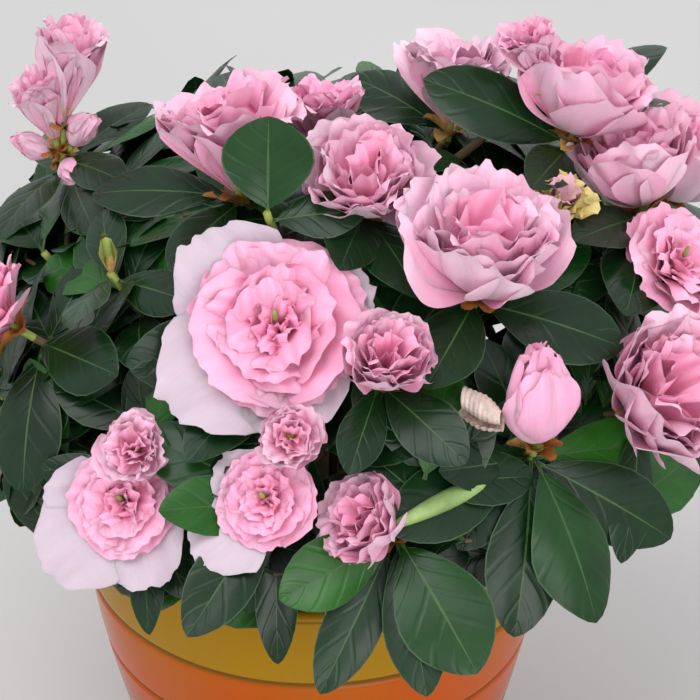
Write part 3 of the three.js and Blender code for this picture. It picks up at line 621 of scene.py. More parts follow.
def fill_whorl(shoot, draw):
    """Adds leaves by the golden angle, opened from the shoot's own way, until the shoot has its whorl."""
    axes = axes_about(shoot["out"])
    start = draw() * 360
    for k in range(LEAF_RULE["tries"]):
        if len(shoot["leaves"]) >= LEAF_RULE["whorl"]:
            break
        opened = LEAF_RULE["open"][0] + LEAF_RULE["open"][1] * draw()
        way = swung(shoot["out"], swung(*axes, start + k * GOLDEN), opened)
        length = LEAF_RULE["length"] + LEAF_RULE["spread"] * (draw() - 0.5) * 2
        if all(np.dot(leaf["way"], way) <= LEAF_RULE["alike"] for leaf in shoot["leaves"]):
            leaf = {"way": way, "length": length, "width": length * LEAF_RULE["width"]}
            shoot["leaves"].append(leaf | {"bright": None, "toward": 0})


def bloom_for(draw, turn, out):
    """The bloom of a spiral shoot, by its share of the draws. On the viewer's side it has none."""
    chance, size, lean = draw(), draw(), BLOOM_LEAN[0] + BLOOM_LEAN[1] * draw()
    if np.dot(out, VIEWER) > BARE_SIDE:
        return ()
    for kind, below, width, more, upright in BLOOM_SHARES:
        if chance < below:
            return ((kind, width + more * size, turn, lean * upright),)
    return ()


def grow_shoots():
    """The measured shoots, then those of the spiral that stand clear of all before them."""
    draw = seeded(SPIRAL["seed"]).__next__
    shoots = [make_shoot(*row) for row in SHOOTS]
    lowest = math.cos(math.radians(SPIRAL["lowest"]))
    for k in range(SPIRAL["shoots"]):
        lean = math.degrees(math.acos(1 - (1 - lowest) * (k + 0.5) / SPIRAL["shoots"]))
        turn = (k * GOLDEN + 180) % 360 - 180
        tip = (turn, lean, SPIRAL["reach"] + SPIRAL["wobble"] * (draw() - 0.5) * 2)
        shoot = make_shoot(tip, bloom_for(draw, turn, outward(crown_point(*tip))), measured=False)
        if all(np.linalg.norm(other["at"] - shoot["at"]) > SPIRAL["apart"] for other in shoots):
            shoots.append(shoot)
    for shoot in shoots:
        fill_whorl(shoot, draw)
    return shoots


def is_hidden(shoot):
    """Whether a shoot of the spiral ends among the leaves of the viewer's side, with no bloom or bud."""
    return not shoot["measured"] and not shoot["blooms"] and np.dot(shoot["out"], VIEWER) > BARE_SIDE


def bough_controls(index):
    """The three controls of a mass's bough: on the trunk, at its bend and where it enters the mass."""
    _, turn, lean = MASSES[index]
    end = crown_point(turn, lean, BOUGH["reach"])
    if index == 0:
        return [TRUNK_TIP, (TRUNK_TIP + end) / 2 + vec(2, 0, 0), end]
    share = BOUGH["starts"][index % 2] / TRUNK["tall"]
    start = TRUNK_FOOT * (1 - share) + TRUNK_TIP * share
    bend = start + direction(turn, BOUGH["lean"]) * np.linalg.norm(end - start) * BOUGH["bend"]
    return [start, bend, end]


def stem_controls(index):
    """The stem that goes on from a bough into its mass."""
    _, bend, end = bough_controls(index)
    _, turn, lean = MASSES[index]
    return [end, end + unit(end - bend) * STEM["straight"], crown_point(turn, lean, STEM["reach"])]


def grow_twigs(shoots):
    """Gives each shoot the four controls of its twig, which leaves the stem sooner the further aside it goes."""
    for shoot in shoots:
        stem = stem_controls(shoot["mass"])
        aim = unit(shoot["at"] - stem[0])
        ahead = (np.dot(aim, unit(stem[2] - stem[0])) - ASIDE["from"]) / (1 - ASIDE["from"])
        start = bezier(stem, min(max(ahead, ASIDE["least"]), ASIDE["most"]))[0]
        far = np.linalg.norm(shoot["at"] - start)
        bend = (start + shoot["at"]) / 2 - shoot["out"] * TWIG["sag"] * far
        toward = unit(shoot["blooms"][0]["face"] + shoot["out"]) if shoot["blooms"] else shoot["out"]
        tip = shoot["at"] + toward * (TWIG["sunk"] if shoot["blooms"] else 1)
        shoot["twig"] = [start, bend, shoot["at"] - shoot["out"] * TWIG["neck"], tip]


# The finer growth, which the solids leave out

STALK_RADII = (1.0, 1.1)  # of a bloom's stalk
SIDE_TWIG = {"first": 0.4, "span": 0.3, "length": 24, "vary": 8, "bend": 10, "radii": (1.0, 0.7)}
SIDE_ROOM = {"dome": 0.86, "clear": 4}  # the share of the dome that their tips keep to, and how far off the blooms


def grow_side_twigs(shoots, count, rooms):
    """Side twigs that leave each twig by the golden angle and end inside the dome, clear of the blooms.

    Each goes on half along its twig, 0.8 aside and a quarter up. Its length follows a sine of its number.
    """
    made = []
    middles, radii = rooms
    for number, shoot in enumerate(shoots):
        for k in range(count):
            share = SIDE_TWIG["first"] + SIDE_TWIG["span"] * k / max(1, count - 1)
            start, ahead = bezier(shoot["twig"], [share, share + 0.05])
            along = unit(ahead - start)
            aside = swung(*axes_about(along), (number * count + k) * GOLDEN)
            way = unit(along * 0.5 + aside * 0.8 + vec(0, 0, 0.25))
            end = start + way * (SIDE_TWIG["length"] + SIDE_TWIG["vary"] * math.sin(number * 2.3 + k))
            room = (np.linalg.norm(middles - end, axis=1) - radii).min()
            if reach_of(end) < SIDE_ROOM["dome"] and room > SIDE_ROOM["clear"] and not in_pot_room(end):
                made.append({"controls": [start, start + way * SIDE_TWIG["bend"], end]})
    return made


def bloom_rooms(shoots):
    """The middles and radii of the balls that leaves keep out of."""
    rooms = [(b["middle"], b["radius"]) for s in shoots for b in s["blooms"]]
    return np.array([m for m, _ in rooms]), np.array([r for _, r in rooms])


def in_pot_room(points, gap=3):
    """Whether points lie in the pot, or within the gap round it."""
    points = np.atleast_2d(points)
    near = np.hypot(points[:, 0], points[:, 1]) < POT_BOX[1][0] / MM + gap
    return bool(np.any(near & (points[:, 2] < POT_BOX[1][2] / MM + gap)))


def table_of(rows):
    """Rows of named values as one array for each name."""
    return {key: np.array([row[key] for row in rows], float) for key in rows[0]}


def blade_points(line, flat, normal, tilt, aside, lift):
    """A blade's points: its middle line, plus aside along flat and lift along normal, both turned by the tilt."""
    side = flat * np.cos(tilt) + normal * np.sin(tilt)
    up = normal * np.cos(tilt) - flat * np.sin(tilt)
    return line + side * aside[..., None] + up * lift[..., None]


# Leaves


def leaf_row(rng, root, way, up, length, width, bright, arc=None):
    """One leaf's values: where it grows, its way and upper side, its size, and how it bends."""
    if bright is None:
        # A leaf deep inside the crown takes the darker green, which is painted shade
        inner = rng.uniform(0.45, 0.8) > reach_of(root + way * length / 2)
        bright = PAINTED_SHADE if inner else int(rng.choice([0, 1, 2], p=[0.62, 0.28, 0.1]))
    row = {"root": root, "way": way, "up": up, "length": length, "width": width, "bright": bright}
    return row | {
        "arc": rng.uniform(0.25, 0.75) if arc is None else arc,
        "fold": rng.uniform(0.1, 0.3),
        "curl": rng.uniform(0.15, 0.35),
        "wave": rng.uniform(0.02, 0.06),
        "phase": rng.uniform(0, 6.28),
        "twist": rng.normal(0, 0.18),
    }


def leaf_grids(leaves, columns, rows):
    """Leaves as grids across and along.

    The middle line is an arc: way sin(arc t) / arc and down (1 - cos(arc t)) / arc, times the length. The half
    width is a narrow stalk, then sine(pi b ** 1.22) ** 0.68 of the share b along the blade. Across, the blade rises
    by fold times the distance from the midrib, falls by curl times its square, and its margins wave.
    """
    t = np.asarray(rows)[None, None, :]
    c = np.asarray(columns)[None, :, None]
    p = {key: values[:, None, None] for key, values in leaves.items()}
    arc = np.maximum(p["arc"], 0.05)
    half_arc = arc[..., None] / 2
    way = p["way"] * np.cos(half_arc) + p["up"] * np.sin(half_arc)
    up = p["up"] * np.cos(half_arc) - p["way"] * np.sin(half_arc)
    blade = np.clip((t - STALK) / (1 - STALK), 0, 1)
    shape = np.sin(np.pi * blade**1.22).clip(0) ** 0.68
    half = p["width"] / 2 * shape + 0.55 * (1 - 0.75 * blade)
    rib = np.abs(c) < 0.2
    c = np.where(rib, c * (1.5 - 1.2 * blade), c)
    c = np.where(rib & (blade <= 0), np.sign(c) * 0.5, c)
    x = c * half
    aside = np.abs(x)
    z = p["fold"] * aside - p["curl"] * aside**2 / (p["width"] / 2)
    z = z + p["wave"] * p["width"] * c**2 * np.sin(8 * t + p["phase"] + np.sign(c)) * shape
    turn = arc * t
    length = p["length"] / (np.sin(arc / 2) / (arc / 2))
    forward, down = length * np.sin(turn) / arc, -length * (1 - np.cos(turn)) / arc
    normal = up * np.cos(turn)[..., None] + way * np.sin(turn)[..., None]
    line = p["root"] + way * forward[..., None] + up * down[..., None]
    return blade_points(line, np.cross(way, up), normal, (p["twist"] * t)[..., None], x, z)


def leaf_batch(leaves, columns, rows):
    """Leaves with a colour for each face: the blade's green, darker as painted shade inside the crown, with midrib
    and stalk, and a thin pale margin.
    """
    a, b = len(columns) - 1, len(rows) - 1
    colours = np.repeat(leaves["bright"].astype(int)[:, None, None], a, axis=1).repeat(b, axis=2)
    colours[:, a // 2] = RIB
    colours[:, :, : sum(r <= STALK for r in rows[1:])] = RIB
    colours[:, [0, a - 1]] = np.where(colours[:, [0, a - 1]] == RIB, RIB, MARGIN)
    return grid_batch(leaf_grids(leaves, columns, rows), colours)


# The whorls under a shoot's tip: where the first one is and how much lower the next, in steps of a fortieth of the
# twig, leaves in each, how far they open and how much more in the next, and their length. Then a side twig's whorl.
LOWER_WHORLS = {"first": 15, "step": 6, "leaves": 5, "open": 78, "more": 6, "length": 37}
SIDE_WHORL = {"leaves": 6, "open": 62, "length": 34}
LOW_ROOM = {"below": 127, "within": 106}  # over the pot, where no filling leaf goes
DOME = {"edge": 1.03, "inset": 0.2}  # how far filling leaves reach, and how much less on the viewer's side


def leaf_is_free(row, rooms, measured=False):
    """Whether a leaf's points keep out of the blooms and the pot, and inside the dome.

    On the viewer's side the measured leaves make the dome's face, and the rest stay a fifth further in.
    """
    shares = vec(0.35, 0.55, 0.75, 1.0)[:, None]
    length = row["length"]
    points = row["root"] + row["way"] * shares * length - row["up"] * 0.1 * length * shares**2
    if measured:
        return not in_pot_room(points, gap=-2)
    middles, radii = rooms
    far = np.linalg.norm(points[:, None] - middles[None], axis=2) - radii[None] * 0.95
    low = (points[:, 2] < LOW_ROOM["below"]) & (np.hypot(points[:, 0], points[:, 1]) < LOW_ROOM["within"])
    seen = np.dot(unit(points[-1] - MIDDLE), VIEWER)
    limit = DOME["edge"] - DOME["inset"] * min(max(seen + 0.1, 0) / 0.4, 1)
    return bool(far.min() > 0 and not low.any() and not in_pot_room(points) and reach_of(points).max() < limit)


def leaf_seat(shoot, number):
    """Where a leaf grows on its shoot, one step down for each before it, and the way of its upper side."""
    leaf = shoot["leaves"][number]
    under = sum(LEAF_STEP["open"] * b["radius"] for b in shoot["blooms"] if b["kind"] == "open")
    root = shoot["at"] - shoot["out"] * (LEAF_STEP["first"] + LEAF_STEP["next"] * number + under)
    return root, square_to(shoot["out"] * (1 - leaf["toward"]) + VIEWER * leaf["toward"], leaf["way"])


def whorl_rows(rng, rooms, at, out, along, start, count, opened, length):
    """A whorl's leaves that are free: each is turned on by the golden angle and opened from the stalk's way."""
    rows = []
    axes = axes_about(along)
    for k in range(count):
        way = swung(along, swung(*axes, start + k * GOLDEN), opened + rng.uniform(-10, 10))
        size = length * rng.uniform(0.82, 1.1)
        up = square_to(unit(out + vec(0, 0, 0.4)), way)
        rows.append(leaf_row(rng, at - along * 1.2 * k, way, up, size, size * rng.uniform(0.4, 0.5), None))
    return [row for row in rows if leaf_is_free(row, rooms)]


def grow_leaves(shoots, side_twigs, rooms, settings):
    """All leaves, as a table of the measured ones and a table of the rest.

    A shoot's leafy is the share of its twig up to its last whorl. A side twig's tells whether it has a leaf.
    """
    rng = np.random.default_rng(settings.seed)
    measured, filling = [], []
    for number, shoot in enumerate(shoots):
        for k, leaf in enumerate(shoot["leaves"]):
            root, up = leaf_seat(shoot, k)
            known = leaf["bright"] is not None
            arc = (0.5 - 0.3 * (leaf["toward"] == 1)) if known else None
            row = leaf_row(rng, root, leaf["way"], up, leaf["length"], leaf["width"], leaf["bright"], arc)
            if leaf_is_free(row, rooms, known):
                (measured if known else filling).append(row)
        shoot["leafy"] = SIDE_TWIG["first"]
        stalk = bezier(shoot["twig"], np.linspace(0.5, 1, 21))
        for level in range(settings.lower_whorls):
            step = max(0, LOWER_WHORLS["first"] - LOWER_WHORLS["step"] * level)
            along = unit(stalk[step + 1] - stalk[step])
            place = (stalk[step], shoot["out"], along, number * 61 + level * 40)
            opened = LOWER_WHORLS["open"] + LOWER_WHORLS["more"] * level
            kept = whorl_rows(rng, rooms, *place, LOWER_WHORLS["leaves"], opened, LOWER_WHORLS["length"])
            filling += kept
            if kept:
                shoot["leafy"] = max(shoot["leafy"], 0.49 + step / 40)
    for number, twig in enumerate(side_twigs):
        _, bend, end = twig["controls"]
        place = (end, outward(end), unit(end - bend), number * 47)
        kept = whorl_rows(rng, rooms, *place, *SIDE_WHORL.values())
        filling += kept
        twig["leafy"] = bool(kept)
    return table_of(measured), table_of(filling)


def grow_plant(scene):
    """Shoots with their twigs, side twigs, measured leaves and the rest, by the scene's settings."""
    shoots = grow_shoots()
    rooms = bloom_rooms(shoots)
    grow_twigs(shoots)
    side_twigs = grow_side_twigs(shoots, scene.azalea_crown.side_twigs, rooms)
    return shoots, side_twigs, *grow_leaves(shoots, side_twigs, rooms, scene.azalea_leaf)


# Petals

# What a petal, scale or broad petal has where nothing else is said. cream is 1 for a pale foot and -1 for a broad
# petal, and depth is how much deeper the colour is at the foot.
PLAIN_PETAL = {"flare": 0, "ruffle": 0, "waves": 1, "phase": 0, "tilt": 0, "stretch": 1, "depth": 0, "cream": 0}
BROAD_PETAL = {"half": 0.52, "start": 60, "end": 84, "flare": 8, "curl": 0.1, "ruffle": 0.035, "waves": 1.6}
BROAD_PETAL = PLAIN_PETAL | BROAD_PETAL | {"depth": 0.3, "cream": -1}
PAPER_SCALE = PLAIN_PETAL | {"half": 0.36, "curl": 1.0, "ruffle": 0.04}
BUD_SCALE = PLAIN_PETAL | {"half": 0.26, "curl": 1.2}
STYLE_RADII = (0.35, 0.3, 0.3, 0.35, 0.75, 0.5)  # from foot to tip
FINE_PETAL, COARSE_PETAL = (27, 13), (19, 10)  # points across and along


def petal_rows(rng, bloom, rings, extra=()):
    """The rows of one bloom's petals, ring by ring. Each ring is turned on by about half a step, and unevenly."""
    rows = []
    radius = bloom["radius"]
    axes = axes_about(bloom["face"])
    seat = {"base": bloom["foot"], "axis": bloom["face"]}
    offset = rng.uniform(0, 360)
    for number, (count, length, half, start, end, flare, curl, ruffle, waves, tone) in enumerate(rings):
        for k in range(count):
            radial = swung(*axes, offset + number * 31 + (k + rng.uniform(-0.2, 0.2)) * 360 / count)
            over = 4 if k % 2 else -4
            rows.append(seat | {
                "radial": radial,
                "length": radius * length * rng.uniform(0.9, 1.06),
                "half": half * rng.uniform(0.88, 1.12),
                "start": start + over * 0.6 + rng.uniform(-4, 4),
                "end": end + over + rng.uniform(-9, 9),
                "flare": flare * rng.uniform(0.3, 1.9),
                "curl": curl * rng.uniform(0.6, 1.3),
                "ruffle": ruffle * rng.uniform(0.7, 1.4),
                "waves": waves * rng.uniform(0.8, 1.25),
                "phase": rng.uniform(0, 6.28),
                "tilt": rng.normal(0, 0.15),
                "stretch": bloom["stretch"],
                "tone": tone + bloom["pink"] + rng.normal(0, 0.04),
                "depth": -0.1 if number == 0 else 0.3,
                "cream": number == 0 and bloom["kind"] != "open",
            })
    for angle, reach in extra:
        broad = {"radial": swung(*axes, angle), "length": radius * reach * 1.1, "tone": bloom["pink"]}
        rows.append(BROAD_PETAL | seat | broad | {"phase": rng.uniform(0, 6.28)})
    return rows


def petal_grids(petals, across, along, rng, ragged=0.032):
    """Petals as grids across and along, each a fan bent along its length.

    The middle line's angle from the bloom's axis goes evenly from start to end, and turns out by the flare times
    the fifth power at the rim. Its sine is added up along the length to give the way out, and its cosine to give
    the way up. The half width grows by a sine from a narrow foot. Across, the fan lies on a circle of the curl, and
    leaves it along its normal by waves that grow with the square of the share along. The rim is rounded, and cut by
    waves and an uneven raggedness.
    """
    u = np.linspace(-1, 1, across)[None, :, None]
    v = (np.linspace(0.02, 1, along) ** 0.8)[None, None, :]
    p = {key: values[:, None, None] for key, values in petals.items()}
    torn = rng.uniform(-1, 1, (len(petals["length"]), across, 1))
    frill = 0.45 * np.sin(4.6 * u + 2 * p["phase"]) + 0.5 * np.sin(11.3 * u + 3.1 * p["phase"])
    frill = frill + 0.5 * np.sin(20 * u + 4.3 * p["phase"]) + 0.25 * torn
    reach = 1 - 0.42 * np.abs(u) ** 2.8 + ragged * frill
    far = v * (1 + (reach - 1) * v**2)
    start, end, flare = (np.radians(p[key]) for key in ("start", "end", "flare"))
    angle = start + (end - start) * far + flare * far**5
    step = np.diff(far, axis=2, prepend=0)
    middle_angle = (angle + np.concatenate([angle[:, :, :1], angle[:, :, :-1]], axis=2)) / 2
    out = p["length"] * np.cumsum(np.sin(middle_angle) * step, axis=2)
    up = p["length"] * p["stretch"] * np.cumsum(np.cos(middle_angle) * step, axis=2)
    widest = 0.66
    grown = np.sin(np.pi / 2 * np.clip(far / widest, 0, 1)) ** 1.2
    taper = 1 - 0.16 * np.maximum(0, (far - widest) / (1 - widest)) ** 2
    half = p["length"] * p["half"] * (0.12 + 0.88 * grown) * taper
    curl = np.maximum(np.abs(p["curl"]), 0.02) * np.sign(p["curl"] + 1e-9)
    aside = half * np.sin(curl * u) / curl
    inward = half * (1 - np.cos(curl * u)) / curl
    waves = np.sin(p["waves"] * np.pi * u + p["phase"] + 1.3 * v)
    waves = waves + 0.6 * np.sin(2.3 * p["waves"] * np.pi * u + 1.9 * p["phase"] - 2.1 * v)
    crimp = 0.14 * np.roll(torn, 1, axis=1) * v**4
    inward = inward + p["ruffle"] * p["length"] * np.abs(far) ** 2 * (waves + crimp)
    sine, cosine = np.sin(angle)[..., None], np.cos(angle)[..., None]
    normal = p["axis"] * sine - p["radial"] * cosine
    line = p["base"] + p["radial"] * out[..., None] + p["axis"] * up[..., None]
    return blade_points(line, np.cross(p["radial"], p["axis"]), normal, p["tilt"][..., None], aside, inward)


def petal_colours(petals, across, along, rng):
    """A tone for each face: the petal's own, deeper to its foot, a little uneven, as a whole step.

    The foot of an outermost petal takes the step past the deepest, which is cream, and a broad petal the next.
    """
    v = (np.arange(along - 1) + 0.5) / (along - 1)
    tone, depth, cream = (petals[key][:, None, None] for key in ("tone", "depth", "cream"))
    tone = tone + depth * (1 - v) ** 1.6 - 0.06 * v**3
    tone = tone + rng.normal(0, 0.006, (len(tone), across - 1, along - 1))
    steps = np.clip(np.round(tone * (TONES - 1)), 0, TONES - 1).astype(int)
    return np.where(cream < -0.5, TONES + 1, np.where((cream > 0.5) & (v < 0.1), TONES, steps))


def tone_colour(s, share):
    """The petal colour at a share from pale through pink to deep."""
    if share < PINK_AT:
        low, high, part = s.pale, s.pink, share / PINK_AT
    else:
        low, high, part = s.pink, s.deep, (share - PINK_AT) / (1 - PINK_AT)
    return tuple(a + (b - a) * part for a, b in zip(low, high))


# Settings


def named(name, description, default, low=0):
    """What every setting has."""
    return {"name": name, "description": description, "default": default, "min": low}


def length_prop(*words):
    """A size in metres."""
    return FloatProperty(**named(*words), max=1.0, unit="LENGTH")


def share_prop(name, description, default, high=1.0):
    """A share or strength with a slider."""
    return FloatProperty(**named(name, description, default), max=high, subtype="FACTOR")


def count_prop(name, description, default, high):
    """A whole number."""
    return IntProperty(**named(name, description, default), max=high)


def colour_prop(name, description, *display):
    """A colour, given as 8-bit display values."""
    return FloatVectorProperty(**named(name, description, linear(*display)), max=1, size=3, subtype="COLOR")


class PotSettings(bpy.types.PropertyGroup):
    """Sizes and glaze of the pot."""

    belly: length_prop("Belly", "Widest radius of the pot", POT_BOX[1][0])
    height: length_prop("Height", "Height of the pot's rim", POT_BOX[1][2])
    foot: length_prop("Foot", "Radius of the underside", 0.05)
    wall: length_prop("Wall", "Thickness of the pot's wall", 0.005)
    groove: length_prop("Groove depth", "Depth of the turned grooves", 0.0011)
    upper: colour_prop("Upper glaze", "Glaze above the top groove", 162, 118, 0)
    middle: colour_prop("Middle glaze", "Glaze under the top groove", 190, 62, 0)
    lower: colour_prop("Lower glaze", "Glaze on the lower half", 150, 35, 6)
    line: colour_prop("Groove line", "Glaze pooled in the grooves", 96, 62, 14)


class CompostSettings(bpy.types.PropertyGroup):
    """The compost in the pot."""

    crumbs: count_prop("Crumbs", "Loose crumbs on top", 420, 3000)
    relief: length_prop("Relief", "Height of the lumps on top", 0.0014)
    colour: colour_prop("Peat", "Moist peat", 44, 32, 24)
    fibre: colour_prop("Fibre", "Drier crumbs and fibres", 98, 70, 44)


class CrownSettings(bpy.types.PropertyGroup):
    """Wood and twigs of the crown."""

    side_twigs: count_prop("Side twigs", "Side twigs on each twig", 5, 6)
    bark: colour_prop("Bark", "Bark of the trunk and boughs", 104, 78, 56)
    twig: colour_prop("Twig", "Skin of the young twigs", 88, 70, 42)


class LeafSettings(bpy.types.PropertyGroup):
    """Greens and number of the leaves."""

    lower_whorls: count_prop("Lower whorls", "Whorls under a shoot's tip", 4, 5)
    seed: count_prop("Seed", "Seed of the small differences", 7, 9999)
    gloss: share_prop("Roughness", "Roughness of the upper side", 0.3)
    # Painted shade: a darker green for the leaves deep inside the crown, where shade falls
    painted_shade: colour_prop("Painted shade leaf", "Green of the leaves inside the crown", 8, 24, 9)
    dark: colour_prop("Dark leaf", "Green of most leaves", 12, 41, 14)
    middle: colour_prop("Middle leaf", "Green of the brighter leaves", 18, 57, 18)
    bright: colour_prop("Young leaf", "Green of the youngest leaves", 32, 84, 20)
    rib: colour_prop("Midrib", "Midrib and stalk", 50, 84, 34)
    margin: colour_prop("Margin", "Thin line along the margin", 44, 74, 38)


class BloomSettings(bpy.types.PropertyGroup):
    """Pinks and ruffles of the blooms."""

    seed: count_prop("Seed", "Seed of the petals' differences", 11, 9999)
    ruffle: share_prop("Ruffle", "How strongly the rims are ruffled", 1.0, 2.0)
    pale: colour_prop("Pale petal", "Outer petals and rims", 238, 204, 219)
    pink: colour_prop("Pink petal", "Most of the bloom", 248, 174, 204)
    deep: colour_prop("Deep petal", "The folds at the middle", 255, 150, 190)
    cream: colour_prop("Petal foot", "Foot of the outer petals", 226, 208, 170)
    broad: colour_prop("Broad petal", "The large petals that lie behind some blooms", 200, 182, 193)
    scale: colour_prop("Bud scale", "Papery scales under a bloom", 158, 98, 42)
    tan: colour_prop("Dry scale", "Older, paler scales", 192, 150, 84)
    bud: colour_prop("Green bud", "Leaf buds and young stalks", 138, 150, 66)


class StageSettings(bpy.types.PropertyGroup):
    """Floor, light and camera."""

    floor: colour_prop("Floor", "Plain pale floor", 192, 190, 187)
    light: FloatProperty(**named("Light", "Power of the main soft light", 33.0), unit="POWER")
    sky: share_prop("Sky", "Strength of the even light from all round", 0.99, 2.0)
    lens: FloatProperty(**named("Lens", "Focal length of the camera in millimetres", 102.1, 10))


# Pieces


class AddPot(bpy.types.Operator):
    """Add the glazed pot, turned from its profile"""

    bl_idname = "azalea.add_pot"
    bl_label = "Pot"

    def execute(self, context):
        s = context.scene.azalea_pot
        pot = grid_batch(lathe(pot_profile(s), sides=160), closed=True)
        make_piece("Pot", [pot], [glaze_material(s)], ["pot"])
        return {"FINISHED"}


def pot_radius(s, height):
    """The outside radius: a power curve from foot to belly, then a slight fall to the rim."""
    belly, foot, top, full = s.belly / MM, s.foot / MM, s.height / MM, POT["full"]
    down = belly - (belly - foot) * (np.clip(full - height, 0, None) / full) ** POT["swell"]
    return down - POT["fall"] * (np.clip(height - full, 0, None) / (top - full)) ** 2


def pot_profile(s):
    """Radius and height from the underside's edge, up the outside with rounded grooves, over the lip and down."""
    top, wall, lip, floor = s.height / MM, s.wall / MM, POT["lip"], POT["floor"]
    heights = np.concatenate([[1.2, 2.0], np.linspace(3, top - lip, 150)])
    outside = pot_radius(s, heights)
    for k in range(GROOVES["count"]):
        line = GROOVES["top"] - k * GROOVES["step"]
        outside = outside - s.groove / MM * np.exp(-(((heights - line) / GROOVES["half"]) ** 2))
    edge = pot_radius(s, 2.0) - vec(1.6, 0.5)
    foot = np.stack([edge, vec(0, 0.35)], axis=1)
    round_over = np.linspace(0, np.pi, 12)[:, None]
    half = wall / 2
    middle = pot_radius(s, top) - half
    over = np.concatenate([middle + half * np.cos(round_over), top - lip + lip * np.sin(round_over)], axis=1)
    inner = np.linspace(top - lip - 2, floor + 1, 14)
    inside = np.stack([pot_radius(s, inner) - wall, inner], axis=1)
    corner = vec(pot_radius(s, floor) - wall - 1.5, floor)[None]
    return np.concatenate([foot, np.stack([outside, heights], axis=1), over, inside, corner])


class AddCompost(bpy.types.Operator):
    """Add the compost, lumpy on top, with loose crumbs"""

    bl_idname = "azalea.add_compost"
    bl_label = "Compost"

    def execute(self, context):
        s, pot = context.scene.azalea_compost, context.scene.azalea_pot
        rng = np.random.default_rng(3)
        wall = pot.wall / MM + COMPOST["gap"]
        heights = np.linspace(COMPOST["bottom"], SOIL_TOP - COMPOST["edge"], 12)
        edge = np.stack([pot_radius(pot, heights) - wall, heights], axis=1)
        rim = pot_radius(pot, SOIL_TOP) - wall
        top = np.stack([rim * np.linspace(1, 0.02, 26), np.full(26, SOIL_TOP - 1.0)], axis=1)
        grid = lathe(np.concatenate([edge, top]), sides=90)
        grid[..., 2] += lumps(grid) * s.relief / MM * (grid[..., 2] > SOIL_TOP - 2)
        far = rim * COMPOST["spread"] * np.sqrt(rng.uniform(0.01, 1, s.crumbs))
        turn = rng.uniform(0, 2 * np.pi, s.crumbs)
        middles = np.stack([far * np.cos(turn), far * np.sin(turn), np.full(s.crumbs, SOIL_TOP - 0.4)], axis=1)
        crumbs = crumb_grids(rng, middles)
        kinds = rng.integers(0, 2, s.crumbs)[:, None, None]
        materials = [
            mottled("Moist peat", s.colour, 0.95, 0.004, 0.45, 0.0012),
            mottled("Dry fibre", s.fibre, 0.9, 0.003, 0.4, 0.0004),
        ]
        batches = [grid_batch(grid, closed=True), grid_batch(crumbs, kinds, closed=True)]
        make_piece("Compost", batches, materials, ["soil"])
        return {"FINISHED"}


def lumps(grid):
    """Sums of waves in x and y, which give lumps a few millimetres across."""
    x, y = grid[..., 0], grid[..., 1]
    slow = np.sin(0.31 * x + 1.7 * np.sin(0.12 * y)) * np.cos(0.27 * y + 1.3)
    quick = np.sin(0.93 * x - 0.71 * y) * np.cos(0.83 * y + 0.57 * x)
    return 0.6 * slow + 0.5 * (quick + 0.5 * np.sin(2.1 * x + 1.1) * np.sin(1.9 * y))


def crumb_grids(rng, middles):
    """Crumbs: short six-sided tubes of three uneven rings, with radius and height drawn for each."""
    n = len(middles)
    angle = np.linspace(0, 2 * np.pi, 6, endpoint=False)[None, :, None] + rng.uniform(0, 1, (n, 1, 1))
    size = rng.uniform(0.7, 2.0, (n, 1, 1))
    radius = size * vec(0.55, 1.0, 0.5) * rng.uniform(0.7, 1.2, (n, 6, 3))
    height = size * vec(-0.5, 0.0, 0.55) * rng.uniform(0.7, 1.1, (n, 1, 3))
    grid = [radius * np.cos(angle), radius * np.sin(angle) * 0.8, height + 0 * radius]
    return middles[:, None, None] + np.stack(grid, axis=-1)


class AddWood(bpy.types.Operator):
    """Add the trunk and the boughs, with furrowed bark"""

    bl_idname = "azalea.add_wood"
    bl_label = "Trunk and boughs"

    def execute(self, context):
        bark = bark_material(context.scene.azalea_crown.bark)
        t, shoulder = np.linspace(0, 1, 48), 0.94
        foot, tip = TRUNK_FOOT - vec(0, 0, 1.5), TRUNK_TIP + vec(0, 0, 2)
        path = bezier([foot, (foot + tip) / 2 - vec(1.5, 0, 0), tip], t)[None]
        swell = TRUNK["radius"] + (TRUNK["tip_radius"] - TRUNK["radius"]) * t
        swell = swell + TRUNK["flare"] * 0.8 * np.exp(-t * TRUNK["tall"] / TRUNK["fade"])
        swell = swell * np.where(t > shoulder, np.sqrt(np.clip(1 - ((t - shoulder) / 0.07) ** 2, 0, 1)), 1)
        skin = furrowed(swell, 1, sides=40, depth=0.05)
        make_piece("Trunk", [tubes(path, skin, 40)], [bark], ["trunk"])
        t = np.linspace(0, 1, 40)
        paths = np.array([bezier(bough_controls(k), t) for k in range(len(MASSES))])
        taper = BOUGH["radius"] + (BOUGH["tip_radius"] - BOUGH["radius"]) * t + 0.9 * np.exp(-t * 12)
        skin = furrowed(taper, len(MASSES), sides=22, depth=0.045)
        make_piece("Boughs", [tubes(paths, skin, 22)], [bark], BOUGHS)
        return {"FINISHED"}


def furrowed(radii, count, sides, depth):
    """Radii along count limbs, spread round them and cut by furrows: radius (1 + depth (waves round and along))."""
    a = np.linspace(0, 2 * np.pi, sides, endpoint=False)[None, :, None]
    z = np.linspace(0, 1, len(radii)) * len(radii) * 0.5
    shift = np.arange(count)[:, None, None] * 1.7
    ridge = -np.abs(np.sin(3 * a + 0.9 * np.sin(0.35 * z + shift))) + 0.6 * np.sin(5 * a - 0.4 * z + shift)
    knots = 0.9 * np.sin(0.23 * z + shift) * np.cos(a + shift)
    return radii * (1 + depth * (ridge + knots))


